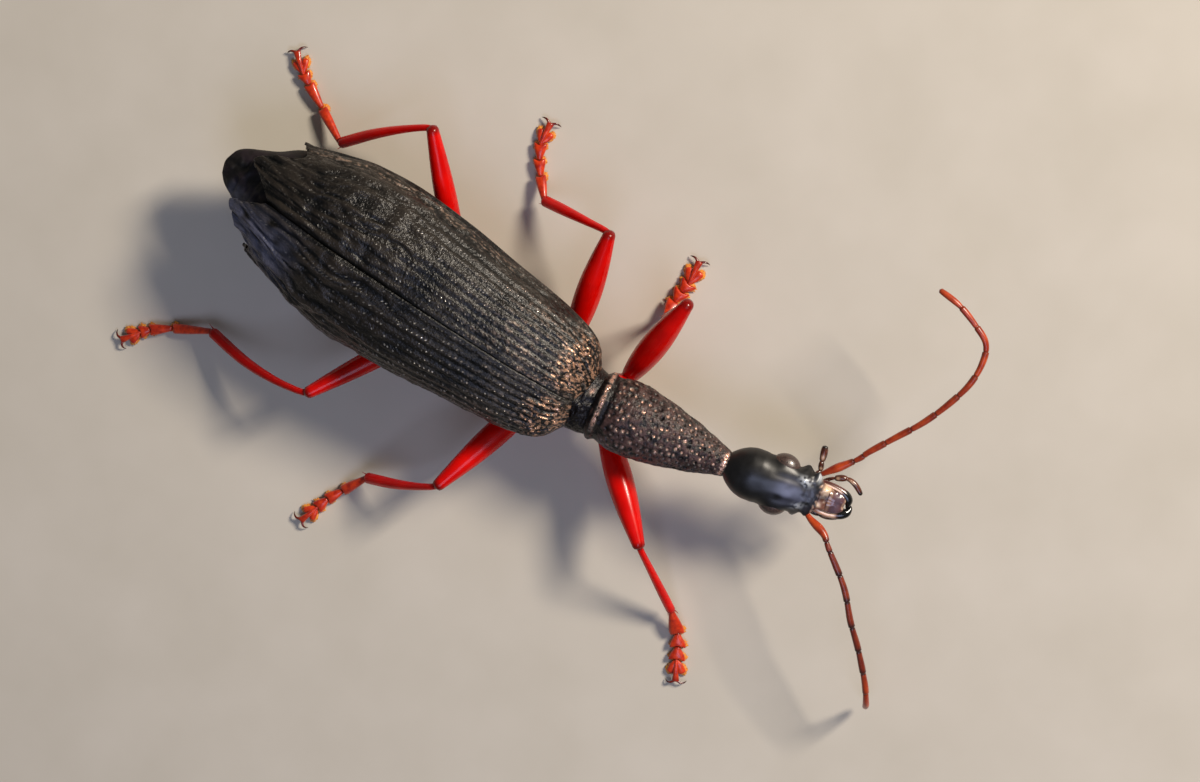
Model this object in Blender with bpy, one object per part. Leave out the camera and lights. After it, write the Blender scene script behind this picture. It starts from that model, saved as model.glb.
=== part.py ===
"""A life-size still model of a long-bodied ground beetle that stands on six red legs.

Every size below is in millimetres, and the last step turns the meshes to metres.
The head points to -Y, the beetle's own left side is +X, up is +Z, and the floor is Z = 0.
"""

from math import cos, pi, radians, sin

import bmesh
import bpy
from mathutils import Matrix, Vector

MM = 0.001
GAP = 0.3
SIDES = {"left": 1, "right": -1}

# Elytra: the two hard wing covers
ELYTRA_HALF_WIDTHS = ((0.0, 1.62), (0.35, 1.96), (0.8, 2.18), (2.0, 2.44), (4.0, 2.66), (6.0, 2.90),
                      (8.0, 3.00), (9.6, 2.86), (10.8, 2.54), (12.2, 2.06), (13.5, 1.86))
ELYTRA_TOPS = ((0.0, 4.55), (0.8, 4.95), (3.0, 5.36), (6.0, 5.50), (9.0, 5.44), (11.0, 5.18), (12.2, 4.80),
               (13.5, 4.12))
ELYTRA_MARGIN_HEIGHT = 3.35
ELYTRA_SHELL = 0.5
ELYTRA_APEX_SHELL = 0.3
ELYTRA_ROUNDNESS = 0.86
SHOULDER_SLOPE = 0.12
ELYTRON_APEX_LINE = ((0.0, 12.05), (0.12, 12.80), (0.24, 13.48), (0.34, 13.15), (0.5, 12.60), (0.7, 12.02),
                     (0.88, 12.04), (1.0, 12.28))
RIDGES = 9
RIDGE_HEIGHT = 0.07
ELYTRON_ROWS = 26

# Trunk under the elytra: metathorax and abdomen
TRUNK_INSET = 0.12
TRUNK_UNDERSIDES = ((0.0, 2.20), (1.0, 2.05), (3.0, 1.92), (6.0, 1.90), (9.0, 2.00), (12.0, 2.35),
                    (14.25, 2.95))
METATHORAX_FRONT = 0.35
METATHORAX_REAR = 4.55
ABDOMEN_FRONT = METATHORAX_REAR + GAP
ABDOMEN_REAR = 14.25
ABDOMEN_TIP_HALF_WIDTHS = ((11.6, 2.06), (12.6, 1.46), (13.4, 1.00), (13.9, 0.72), (14.13, 0.48),
                           (14.25, 0.26))
ABDOMEN_TIP_TOPS = ((11.6, 4.10), (12.6, 3.70), (13.2, 3.48), (13.9, 3.38), (14.25, 3.20))
TRUNK_EDGE = ELYTRA_MARGIN_HEIGHT - GAP
ROOF_STEP = 0.03
SEGMENT_GROOVE = 0.06
ABDOMEN_SEGMENTS = 6

# Mesothorax: the narrow waist between wing covers and pronotum
WAIST_CENTRE = -0.06
WAIST_HALF_WIDTHS = ((-0.52, 0.86), (-0.44, 0.96), (-0.30, 0.94), (-0.22, 0.72), (0.05, 0.64))
WAIST_TOPS = ((-0.52, 3.95), (-0.42, 4.12), (-0.30, 4.05), (-0.22, 3.68), (0.05, 3.62))
WAIST_UNDERSIDE = 2.35

# Pronotum: the tapering neck shield, turned a little to the left
PRONOTUM_ORIGIN = Vector((0.13, -0.95, 3.35))
PRONOTUM_YAW = 9.3
PRONOTUM_LENGTH = 4.65
PRONOTUM_RISE = 0.15
PRONOTUM_HALF_WIDTHS = ((0.0, 1.12), (0.12, 1.22), (0.34, 1.12), (0.60, 1.22), (1.0, 1.30), (2.0, 1.18),
                        (3.0, 0.96), (4.0, 0.68), (4.5, 0.50), (4.65, 0.46))
PRONOTUM_SIDES = 28
PRONOTUM_ROWS = 22
PIT_DEPTH = 0.05
PRONOTUM_DEPTH_RATIO = 0.88

# Head, turned a little more than the pronotum
HEAD_ORIGIN_GAP = GAP
HEAD_YAW = 13.5
HEAD_LENGTH = 3.15
HEAD_HALF_WIDTHS = ((0.0, 0.28), (0.08, 0.37), (0.22, 0.66), (0.42, 0.88), (0.85, 1.00), (1.30, 0.97),
                    (1.75, 0.86), (2.2, 0.74), (2.6, 0.65), (2.95, 0.54), (3.15, 0.46))
HEAD_HALF_DEPTHS = ((0.0, 0.27), (0.22, 0.46), (0.85, 0.66), (1.75, 0.64), (2.4, 0.54), (3.15, 0.36))
EYE_STATION = 1.77
EYE_HALF_LENGTH = 0.47
EYE_HALF_HEIGHT = 0.42
EYE_OUTERMOST = 1.12
EYE_BASE = 0.72
LABRUM_LENGTH = 0.55
LABRUM_HALF_WIDTH = 0.42
LABRUM_THICKNESS = 0.3
LABRUM_HEIGHT = 0.2

# Mandibles and palps in head measures: how far ahead, to the left and above the axis, then the radius there
MOUTHPARTS = {
    "mandible_left": ((3.45, 0.36, -0.34, 0.19), (3.75, 0.54, -0.36, 0.16), (4.02, 0.53, -0.36, 0.11),
                      (4.18, 0.40, -0.36, 0.06)),
    "mandible_right": ((3.45, -0.36, -0.34, 0.19), (3.85, -0.52, -0.36, 0.16), (4.20, -0.36, -0.36, 0.11),
                       (4.40, -0.08, -0.36, 0.06)),
    "maxillary_palp_left": ((2.88, 0.92, -0.72, 0.20), (2.95, 1.20, -0.74, 0.22), (2.92, 1.48, -0.70, 0.22),
                            (2.84, 1.77, -0.64, 0.16)),
    "maxillary_palp_right": ((2.55, -0.94, -0.62, 0.20), (3.00, -1.06, -0.66, 0.22),
                             (3.50, -1.02, -0.60, 0.22), (3.95, -0.90, -0.54, 0.16)),
    "labial_palp_left": ((3.05, 0.60, -0.98, 0.19), (3.45, 0.86, -0.98, 0.20), (3.85, 0.96, -0.96, 0.20),
                         (4.45, 0.64, -0.92, 0.15)),
    "labial_palp_right": ((2.75, -0.34, -0.98, 0.19), (3.15, -0.44, -1.00, 0.20), (3.70, -0.52, -0.98, 0.20),
                          (4.20, -0.48, -0.94, 0.15)),
}

# Feelers, given by the world points that they pass through, root to tip
ANTENNA_ROOT_RADIUS = 0.26
ANTENNA_TIP_RADIUS = 0.16
ANTENNA_PATHS = {
    "left": ((2.62, -8.63, 3.60), (4.09, -9.39, 3.90), (6.03, -10.28, 4.30), (8.09, -10.79, 4.70),
             (9.57, -10.42, 4.90), (10.13, -8.99, 4.90), (10.18, -8.14, 4.80)),
    "right": ((0.92, -9.15, 3.60), (0.62, -10.06, 3.95), (-0.33, -11.30, 3.90), (-1.27, -12.18, 3.70),
              (-2.00, -12.94, 3.40), (-3.73, -14.35, 2.60), (-4.10, -14.50, 1.60), (-4.36, -14.60, 0.50)),
}
ANTENNA_PIECES = 3

# Legs: where each one leaves the body, bends and lands, how far its shin bows outwards, and then the joints
# of its foot, each with the direction it points to in degrees from +X and its length
LEGS = {
    "fore_left": {"root": (0.72, -1.25, 1.50), "knee": (4.94, -1.58, 3.90), "ankle": (3.30, -1.22, 0.72),
                  "bow": 0.0, "foot": ((4, 0.60), (-1, 0.43), (-8, 0.37), (8, 1.16))},
    "fore_right": {"root": (-0.62, -1.20, 1.45), "knee": (-3.44, -4.84, 3.00), "ankle": (-5.40, -7.08, 0.72),
                   "bow": 0.0, "foot": ((-137, 1.01), (-147, 0.50), (-152, 0.48), (-150, 1.10))},
    "mid_left": {"root": (0.70, 1.00, 1.20), "knee": (5.27, 1.94, 3.10), "ankle": (4.41, 4.48, 0.72),
                 "bow": 0.0, "foot": ((48, 0.84), (37, 0.57), (28, 0.54), (6, 1.12))},
    "mid_right": {"root": (-0.70, 0.80, 1.20), "knee": (-5.66, 2.17, 3.00), "ankle": (-7.52, 4.44, 0.72),
                  "bow": 0.0, "foot": ((154, 1.20), (154, 0.66), (163, 0.50), (162, 1.10))},
    "hind_left": {"root": (0.75, 5.55, 1.15), "knee": (4.92, 8.92, 3.10), "ankle": (2.12, 11.50, 0.72),
                  "bow": 0.0, "foot": ((66, 1.39), (62, 0.94), (58, 0.40), (49, 1.12))},
    "hind_right": {"root": (-0.75, 4.95, 1.15), "knee": (-5.43, 7.70, 3.10), "ankle": (-6.18, 11.83, 0.72),
                   "bow": 0.26, "foot": ((123, 1.60), (129, 0.84), (138, 0.36), (145, 1.08))},
}
FEMUR_GIRTHS = {"fore": 0.44, "mid": 0.43, "hind": 0.38}
LEG_SIDES = 8
FEMUR_END_RADIUS = 0.26
FEMUR_TIP_RADIUS = 0.21
KNEE_SETBACK = 0.05
TIBIA_RADIUS = 0.255
TIBIA_FOOT_RADIUS = 0.29
COXA_RADIUS = 0.42
FOOT_AXIS_HEIGHT = 0.25
GROUND_SIZE = 12
TARSOMERE_NECK = 0.25
TARSOMERE_HALF_WIDTH = 0.31
LOBE_LENGTH = 0.52
LOBE_SPREAD = 24
LOBE_DROP = 0.04
LOBE_RADII = (0.22, 0.20, 0.13)
CLAW_SEGMENT_RADIUS = 0.18
CLAW_LENGTH = 0.40
CLAW_SPREAD = 72
CLAW_ROOT_RADIUS = 0.13
CLAW_TIP_RADIUS = 0.06

# Finishes: colour as linear red, green and blue, then metallic and roughness
FINISHES = {
    "black_cuticle": ((0.016, 0.014, 0.013), 0.0, 0.38),
    "bronze_cuticle": ((0.030, 0.020, 0.018), 0.3, 0.35),
    "eye": ((0.012, 0.012, 0.013), 0.0, 0.15),
    "mouthpart": ((0.090, 0.026, 0.018), 0.0, 0.25),
    "feeler": ((0.330, 0.045, 0.015), 0.0, 0.40),
    "red_leg": ((0.480, 0.014, 0.006), 0.0, 0.22),
    "foot": ((0.560, 0.090, 0.012), 0.0, 0.40),
}


def smooth_value(stations, position):
    """Read a size between its stations on a smooth curve that never overshoots them."""
    if position <= stations[0][0]:
        return stations[0][1]
    if position >= stations[-1][0]:
        return stations[-1][1]
    index = max(k for k, (start, _) in enumerate(stations) if start <= position)
    spans = zip(stations, stations[1:])
    slopes = [(after[1] - before[1]) / (after[0] - before[0]) for before, after in spans]
    tangents = [slopes[0]]
    for before, after in zip(slopes, slopes[1:]):
        tangents.append(2 * before * after / (before + after) if before * after > 0 else 0.0)
    tangents.append(slopes[-1])
    (start, low), (end, high) = stations[index], stations[index + 1]
    span = end - start
    t = (position - start) / span
    return ((2 * t ** 3 - 3 * t ** 2 + 1) * low + (3 * t ** 2 - 2 * t ** 3) * high
            + span * ((t ** 3 - 2 * t ** 2 + t) * tangents[index] + (t ** 3 - t ** 2) * tangents[index + 1]))


def spline_point(points, share):
    """Walk a Catmull-Rom curve through the points, with share from 0 to 1."""
    vectors = [Vector(point) for point in points]
    spans = len(vectors) - 1
    index = min(int(share * spans), spans - 1)
    t = share * spans - index
    before = vectors[max(index - 1, 0)]
    start = vectors[index]
    end = vectors[index + 1]
    after = vectors[min(index + 2, spans)]
    return 0.5 * (2 * start + (end - before) * t + (2 * before - 5 * start + 4 * end - after) * t * t
                  + (3 * start - before - 3 * end + after) * t ** 3)


def loft(rings):
    """Join rings of points into one closed body, with a flat face on each end."""
    body = bmesh.new()
    loops = [[body.verts.new(point) for point in ring] for ring in rings]
    count = len(loops[0])
    for near, far in zip(loops, loops[1:]):
        for k in range(count):
            following = (k + 1) % count
            body.faces.new((near[k], near[following], far[following], far[k]))
    body.faces.new(reversed(loops[0]))
    body.faces.new(loops[-1])
    bmesh.ops.recalc_face_normals(body, faces=body.faces)
    return body


def ellipse_ring(centre, across, up, half_width, half_height, sides):
    """Points of an ellipse that spans the two given directions."""
    ring = []
    for k in range(sides):
        angle = 2 * pi * (k + 0.5) / sides
        ring.append(centre + across * (half_width * cos(angle)) + up * (half_height * sin(angle)))
    return ring


def tube(path, radii, sides=LEG_SIDES, flatness=1.0):
    """A round rod along a path; flatness squeezes it in its own up direction."""
    rings = []
    for k, point in enumerate(path):
        before = path[max(k - 1, 0)]
        after = path[min(k + 1, len(path) - 1)]
        forward = (after - before).normalized()
        across = forward.cross(Vector((0, 0, 1)))
        if across.length < 0.05:
            across = Vector((1, 0, 0))
        across.normalize()
        up = across.cross(forward).normalized()
        rings.append(ellipse_ring(point, across, up, radii[k], radii[k] * flatness, sides))
    return loft(rings)


def finish_material(name):
    """One Principled material for each finish, made when it is first asked for."""
    if name in bpy.data.materials:
        return bpy.data.materials[name]
    colour, metallic, roughness = FINISHES[name]
    material = bpy.data.materials.new(name)
    material.use_nodes = True
    shader = material.node_tree.nodes["Principled BSDF"]
    shader.inputs["Base Color"].default_value = (*colour, 1)
    shader.inputs["Metallic"].default_value = metallic
    shader.inputs["Roughness"].default_value = roughness
    return material


def add_node(name, body, finish):
    """Turn a bmesh into a named object of the beetle."""
    mesh = bpy.data.meshes.new(name)
    body.to_mesh(mesh)
    body.free()
    mesh.materials.append(finish_material(finish))
    piece = bpy.data.objects.new(name, mesh)
    bpy.context.scene.collection.objects.link(piece)
    return piece


def boolean(piece, others, operation):
    """Join the other bodies to a piece or cut them from it, apply it and remove them."""
    group = bpy.data.collections.new(piece.name + "_tools")
    bpy.context.scene.collection.children.link(group)
    for number, other in enumerate(others):
        mesh = bpy.data.meshes.new(f"{piece.name}_tool_{number}")
        other.to_mesh(mesh)
        other.free()
        tool = bpy.data.objects.new(mesh.name, mesh)
        tool.hide_render = True
        tool.display_type = "WIRE"
        group.objects.link(tool)
    modifier = piece.modifiers.new("boolean", "BOOLEAN")
    modifier.operation = operation
    modifier.operand_type = "COLLECTION"
    modifier.collection = group
    modifier.solver = "MANIFOLD"
    graph = bpy.context.evaluated_depsgraph_get()
    result = bpy.data.meshes.new_from_object(piece.evaluated_get(graph), depsgraph=graph)
    piece.modifiers.clear()
    old = piece.data
    piece.data = result
    result.name = piece.name
    bpy.data.meshes.remove(old)
    for tool in list(group.objects):
        bpy.data.meshes.remove(tool.data)
    bpy.data.collections.remove(group)


def keep_largest_body(piece):
    """Leave only the closed surface with the most faces."""
    body = bmesh.new()
    body.from_mesh(piece.data)
    bmesh.ops.triangulate(body, faces=body.faces)
    waiting = set(body.faces)
    shells = []
    while waiting:
        shell = {waiting.pop()}
        front = list(shell)
        while front:
            face = front.pop()
            for edge in face.edges:
                for other in edge.link_faces:
                    if other in waiting:
                        waiting.discard(other)
                        shell.add(other)
                        front.append(other)
        shells.append(shell)
    shells.sort(key=len, reverse=True)
    scraps = [face for shell in shells[1:] for face in shell]
    bmesh.ops.delete(body, geom=scraps, context="FACES")
    body.to_mesh(piece.data)
    body.free()


def local_axes(yaw):
    """Forward and left directions of a body part that is turned towards the beetle's left."""
    angle = radians(yaw)
    forward = Vector((sin(angle), -cos(angle), 0))
    left = Vector((cos(angle), sin(angle), 0))
    return forward, left


def elytron_surface(across, along, depth):
    """A point of a wing cover: across from suture to side edge, along from base to apex."""
    angle = across * pi / 2
    base_line = SHOULDER_SLOPE * across ** 4
    apex_line = smooth_value(ELYTRON_APEX_LINE, across)
    y = base_line + (apex_line - base_line) * along
    half_width = smooth_value(ELYTRA_HALF_WIDTHS, y)
    top = smooth_value(ELYTRA_TOPS, y)
    inner_edge = GAP / 2
    x = inner_edge + (half_width - inner_edge) * sin(angle) ** ELYTRA_ROUNDNESS
    z = ELYTRA_MARGIN_HEIGHT + (top - ELYTRA_MARGIN_HEIGHT) * max(cos(angle), 0) ** ELYTRA_ROUNDNESS
    return Vector((x - depth * sin(angle), y, z - depth * cos(angle)))


def add_elytron(side):
    """One wing cover, a curved shell with raised ribs between its furrows."""
    columns = 2 * RIDGES
    body = bmesh.new()
    layers = []
    for layer in ("outer", "inner"):
        grid = []
        for row in range(ELYTRON_ROWS + 1):
            along = row / ELYTRON_ROWS
            line = []
            for column in range(columns + 1):
                across = column / columns
                if layer == "outer":
                    is_rib = column % 2 == 1
                    fade = min(1, (1 - along) * 6) * min(1, (columns - column) / 3)
                    depth = 0 if is_rib else RIDGE_HEIGHT * fade
                else:
                    depth = ELYTRA_SHELL + (ELYTRA_APEX_SHELL - ELYTRA_SHELL) * along ** 4
                point = elytron_surface(across, along, depth)
                point.x *= SIDES[side]
                line.append(body.verts.new(point))
            grid.append(line)
        layers.append(grid)
    outer, inner = layers
    for row in range(ELYTRON_ROWS):
        for column in range(columns):
            for near, far in ((grid[row], grid[row + 1]) for grid in layers):
                body.faces.new((near[column], far[column], far[column + 1], near[column + 1]))
    for row in range(ELYTRON_ROWS):
        for column in (0, columns):
            upper = (outer[row][column], outer[row + 1][column])
            body.faces.new((*upper, inner[row + 1][column], inner[row][column]))
    for column in range(columns):
        for row in (0, ELYTRON_ROWS):
            upper = (outer[row][column], outer[row][column + 1])
            body.faces.new((*upper, inner[row][column + 1], inner[row][column]))
    bmesh.ops.triangulate(body, faces=body.faces)
    bmesh.ops.recalc_face_normals(body, faces=body.faces)
    add_node("elytron_" + side, body, "black_cuticle")


def trunk_ring(y, points=10):
    """Cross-section of the trunk: a bowl below the wing covers' edge, a lower roof inside them."""
    elytra_half = smooth_value(ELYTRA_HALF_WIDTHS, y)
    bowl_half = elytra_half - TRUNK_INSET
    clearance = ELYTRA_SHELL + GAP + 0.05
    roof_half = elytra_half - clearance
    roof_top = smooth_value(ELYTRA_TOPS, y) - clearance
    if y > ABDOMEN_TIP_HALF_WIDTHS[0][0]:
        bowl_half = min(bowl_half, smooth_value(ABDOMEN_TIP_HALF_WIDTHS, y))
        roof_top = min(roof_top, smooth_value(ABDOMEN_TIP_TOPS, y))
        open_share = min(1, max(0, (y - 12.2) / 0.8))
        roof_half = roof_half + (bowl_half * 0.97 - roof_half) * open_share
    underside = smooth_value(TRUNK_UNDERSIDES, y)
    ring = []
    for k in range(points + 1):
        angle = pi * k / points
        height = ROOF_STEP + (roof_top - TRUNK_EDGE) * sin(angle)
        ring.append(Vector((roof_half * cos(angle), y, TRUNK_EDGE + height)))
    for k in range(points + 1):
        angle = pi + pi * k / points
        ring.append(Vector((bowl_half * cos(angle), y, TRUNK_EDGE + (TRUNK_EDGE - underside) * sin(angle))))
    return ring


def add_trunk():
    """Metathorax and abdomen; the abdomen's rings show on its underside."""
    stations = [METATHORAX_FRONT + (METATHORAX_REAR - METATHORAX_FRONT) * k / 7 for k in range(8)]
    add_node("metathorax", loft([trunk_ring(y) for y in stations]), "black_cuticle")
    rings = []
    segment = (ABDOMEN_REAR - ABDOMEN_FRONT) / ABDOMEN_SEGMENTS
    for number in range(ABDOMEN_SEGMENTS):
        for share in (0.0, 0.5, 0.93):
            y = ABDOMEN_FRONT + (number + share) * segment
            ring = trunk_ring(y)
            if share > 0.9:
                ring = [point + Vector((0, 0, SEGMENT_GROOVE)) if point.z < TRUNK_EDGE - 0.2 else point
                        for point in ring]
            rings.append(ring)
    rings.append(trunk_ring(ABDOMEN_REAR - 0.12))
    rings.append(trunk_ring(ABDOMEN_REAR))
    add_node("abdomen", loft(rings), "black_cuticle")


def add_waist():
    """The ring of the mesothorax, which goes a little way in under the wing covers."""
    rings = []
    for y, half_width in WAIST_HALF_WIDTHS:
        top = smooth_value(WAIST_TOPS, y)
        centre = Vector((WAIST_CENTRE, y, (top + WAIST_UNDERSIDE) / 2))
        rings.append(ellipse_ring(centre, Vector((1, 0, 0)), Vector((0, 0, 1)), half_width,
                                  (top - WAIST_UNDERSIDE) / 2, 16))
    add_node("mesothorax", loft(rings), "bronze_cuticle")


def add_pronotum():
    """The long tapering pronotum, with its basal collar and the groove in front of it."""
    forward, left = local_axes(PRONOTUM_YAW)
    up = Vector((0, 0, 1))
    collar = [station for station, _ in PRONOTUM_HALF_WIDTHS[:4]]
    first = PRONOTUM_HALF_WIDTHS[4][0]
    step = (PRONOTUM_LENGTH - first) / PRONOTUM_ROWS
    stations = collar + [first + step * k for k in range(PRONOTUM_ROWS + 1)]
    rings = []
    for row, station in enumerate(stations):
        half_width = smooth_value(PRONOTUM_HALF_WIDTHS, station)
        lift = PRONOTUM_RISE * station / PRONOTUM_LENGTH
        centre = PRONOTUM_ORIGIN + forward * station + up * lift
        ring = ellipse_ring(centre, left, up, half_width, half_width * PRONOTUM_DEPTH_RATIO, PRONOTUM_SIDES)
        if len(collar) < row < len(stations) - 2:
            for k, point in enumerate(ring):
                if (row + k) % 2 and point.z > centre.z:
                    point += (centre - point).normalized() * PIT_DEPTH * half_width
        rings.append(ring)
    add_node("pronotum", loft(rings), "bronze_cuticle")


def head_origin():
    """The middle of the neck's rear face, a gap ahead of the pronotum."""
    forward, _ = local_axes(PRONOTUM_YAW)
    return PRONOTUM_ORIGIN + forward * (PRONOTUM_LENGTH + HEAD_ORIGIN_GAP) + Vector((0, 0, PRONOTUM_RISE))


def head_point(ahead, left_side, above):
    """A world point from head measures: ahead of the neck, to the left, above the axis."""
    forward, left = local_axes(HEAD_YAW)
    return head_origin() + forward * ahead + left * left_side + Vector((0, 0, above))


def add_head():
    """The head capsule with a flat seat for each eye, then the eyes and mouthparts."""
    _, left = local_axes(HEAD_YAW)
    up = Vector((0, 0, 1))
    rings = []
    for station, half_width in HEAD_HALF_WIDTHS:
        half_depth = smooth_value(HEAD_HALF_DEPTHS, station)
        rings.append(ellipse_ring(head_point(station, 0, 0), left, up, half_width, half_depth, 20))
    capsule = add_node("head", loft(rings), "black_cuticle")
    seats = []
    for sign in SIDES.values():
        seat_half = EYE_HALF_LENGTH + GAP * 0.6
        seat_depth = EYE_BASE - GAP
        lateral = sign * (seat_depth + 0.5)
        block = bmesh.new()
        bmesh.ops.create_cube(block, size=1)
        turn = Matrix.Rotation(radians(HEAD_YAW), 4, "Z")
        size = Matrix.Diagonal((1.0, 2 * seat_half, 2 * (EYE_HALF_HEIGHT + GAP * 0.6), 1))
        place = Matrix.Translation(head_point(EYE_STATION, lateral, 0.1))
        bmesh.ops.transform(block, matrix=place @ turn @ size, verts=block.verts)
        seats.append(block)
    boolean(capsule, seats, "DIFFERENCE")
    keep_largest_body(capsule)
    add_eyes()
    add_mouthparts()


def add_eyes():
    """Each eye is a low dome that bulges from its seat."""
    forward, left = local_axes(HEAD_YAW)
    up = Vector((0, 0, 1))
    for side, sign in SIDES.items():
        rings = []
        for share in (0.0, 0.35, 0.65, 0.88, 0.98):
            lateral = sign * (EYE_BASE + (EYE_OUTERMOST - EYE_BASE) * share)
            shrink = max(1 - share ** 2, 0.0) ** 0.5
            centre = head_point(EYE_STATION, lateral, 0.1)
            half_length = EYE_HALF_LENGTH * shrink
            rings.append(ellipse_ring(centre, forward, up, half_length, EYE_HALF_HEIGHT * shrink, 12))
        add_node("eye_" + side, loft(rings), "eye")


def add_mouthparts():
    """Labrum over the mandibles, and the two pairs of palps beside and below them."""
    _, left = local_axes(HEAD_YAW)
    up = Vector((0, 0, 1))
    rings = []
    for share, width in ((0.0, 1.0), (0.6, 1.0), (0.9, 0.86), (1.0, 0.66)):
        centre = head_point(HEAD_LENGTH + GAP + LABRUM_LENGTH * share, 0, LABRUM_HEIGHT)
        rings.append(ellipse_ring(centre, left, up, LABRUM_HALF_WIDTH * width, LABRUM_THICKNESS / 2, 10))
    add_node("labrum", loft(rings), "mouthpart")
    for name, stations in MOUTHPARTS.items():
        path = [head_point(ahead, aside, above) for ahead, aside, above, _ in stations]
        add_node(name, tube(path, [station[3] for station in stations], 6), "mouthpart")


def add_antenna(side):
    """A feeler in a few lengths, each a gap away from the next."""
    samples = 24
    points = [spline_point(ANTENNA_PATHS[side], k / samples) for k in range(samples + 1)]
    distances = [0.0]
    for near, far in zip(points, points[1:]):
        distances.append(distances[-1] + (far - near).length)
    total = distances[-1]

    def point_at(distance):
        """The point of the feeler's axis that is so far along it."""
        for k in range(samples):
            if distance <= distances[k + 1] or k == samples - 1:
                share = (distance - distances[k]) / (distances[k + 1] - distances[k])
                return points[k].lerp(points[k + 1], share)

    piece_length = (total - GAP * (ANTENNA_PIECES - 1)) / ANTENNA_PIECES
    for number in range(ANTENNA_PIECES):
        start = number * (piece_length + GAP)
        stations = [start + piece_length * k / 7 for k in range(8)]
        radii = [ANTENNA_ROOT_RADIUS + (ANTENNA_TIP_RADIUS - ANTENNA_ROOT_RADIUS) * (station / total) ** 6
                 for station in stations]
        path = [point_at(station) for station in stations]
        add_node(f"antenna_{side}_{number + 1}", tube(path, radii, 6), "feeler")


def femur_radius(share, girth):
    """Half the thickness of a thigh, from its root at 0 to the knee at 1."""
    swell = max(sin(pi * share ** 1.1), 0) ** 1.4
    return FEMUR_END_RADIUS + (girth - FEMUR_END_RADIUS) * swell


def add_femur(name, root, knee, girth):
    """A spindle-shaped thigh from the trochanter to the knee."""
    forward = (knee - root).normalized()
    start = root + forward * (COXA_RADIUS + GAP)
    end = knee - forward * KNEE_SETBACK
    shares = (0.0, 0.15, 0.32, 0.5, 0.68, 0.84, 0.95, 1.0)
    radii = [femur_radius(share, girth) for share in shares]
    radii[-1] = FEMUR_TIP_RADIUS
    add_node(name + "_femur", tube([start.lerp(end, share) for share in shares], radii), "red_leg")


def femur_distance(point, root, knee, girth):
    """How far a point is from the surface of a thigh."""
    forward = (knee - root).normalized()
    first = COXA_RADIUS + GAP
    last = (knee - root).length - KNEE_SETBACK
    along = (point - root).dot(forward)
    aside = (point - root - forward * along).length
    if along > last:
        return Vector((along - last, max(aside - FEMUR_TIP_RADIUS, 0))).length
    return aside - femur_radius((along - first) / (last - first), girth)


def tibia_start(root, knee, ankle, girth):
    """The shin begins at the first place below the knee where all of it is a gap away from the thigh."""
    thigh = (knee - root).normalized()
    shin = (ankle - knee).normalized()
    rim = (shin * shin.dot(thigh) - thigh).normalized() * TIBIA_RADIUS
    setback = 0.0
    nearest = 0.0
    while nearest < GAP:
        setback += 0.02
        nearest = min(femur_distance(knee + shin * (setback + ahead) + rim * side, root, knee, girth)
                      for ahead in (0.0, 0.4, 0.8, 1.2) for side in (-1, 1))
    return knee + shin * setback


def add_tibia(name, root, knee, ankle, girth, bow):
    """A slender shin that widens to the ankle and may bow outwards."""
    start = tibia_start(root, knee, ankle, girth)
    outward = Vector((0, 0, 1)).cross(ankle - knee).normalized()
    shares = (0.0, 0.08, 0.3, 0.55, 0.8, 1.0)
    radii = [TIBIA_RADIUS * 0.9] + [TIBIA_RADIUS] * 3 + [TIBIA_FOOT_RADIUS] * 2
    path = [start.lerp(ankle, share) + outward * bow * sin(pi * share) for share in shares]
    add_node(name + "_tibia", tube(path, radii), "red_leg")


def add_coxa(name, root, body_underside):
    """The hip and trochanter, a rounded block between the body's underside and the thigh."""
    top = body_underside - GAP
    bottom = root.z - COXA_RADIUS
    rings = []
    for share, size in ((0.0, 0.55), (0.18, 0.9), (0.5, 1.0), (0.82, 0.9), (1.0, 0.7)):
        centre = Vector((root.x, root.y, bottom + (top - bottom) * share))
        rings.append(ellipse_ring(centre, Vector((1, 0, 0)), Vector((0, 1, 0)), COXA_RADIUS * size,
                                  COXA_RADIUS * size, LEG_SIDES))
    add_node(name + "_coxa", loft(rings), "red_leg")


def heading_vector(degrees):
    """A level direction at so many degrees from +X."""
    return Vector((cos(radians(degrees)), sin(radians(degrees)), 0))


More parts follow.
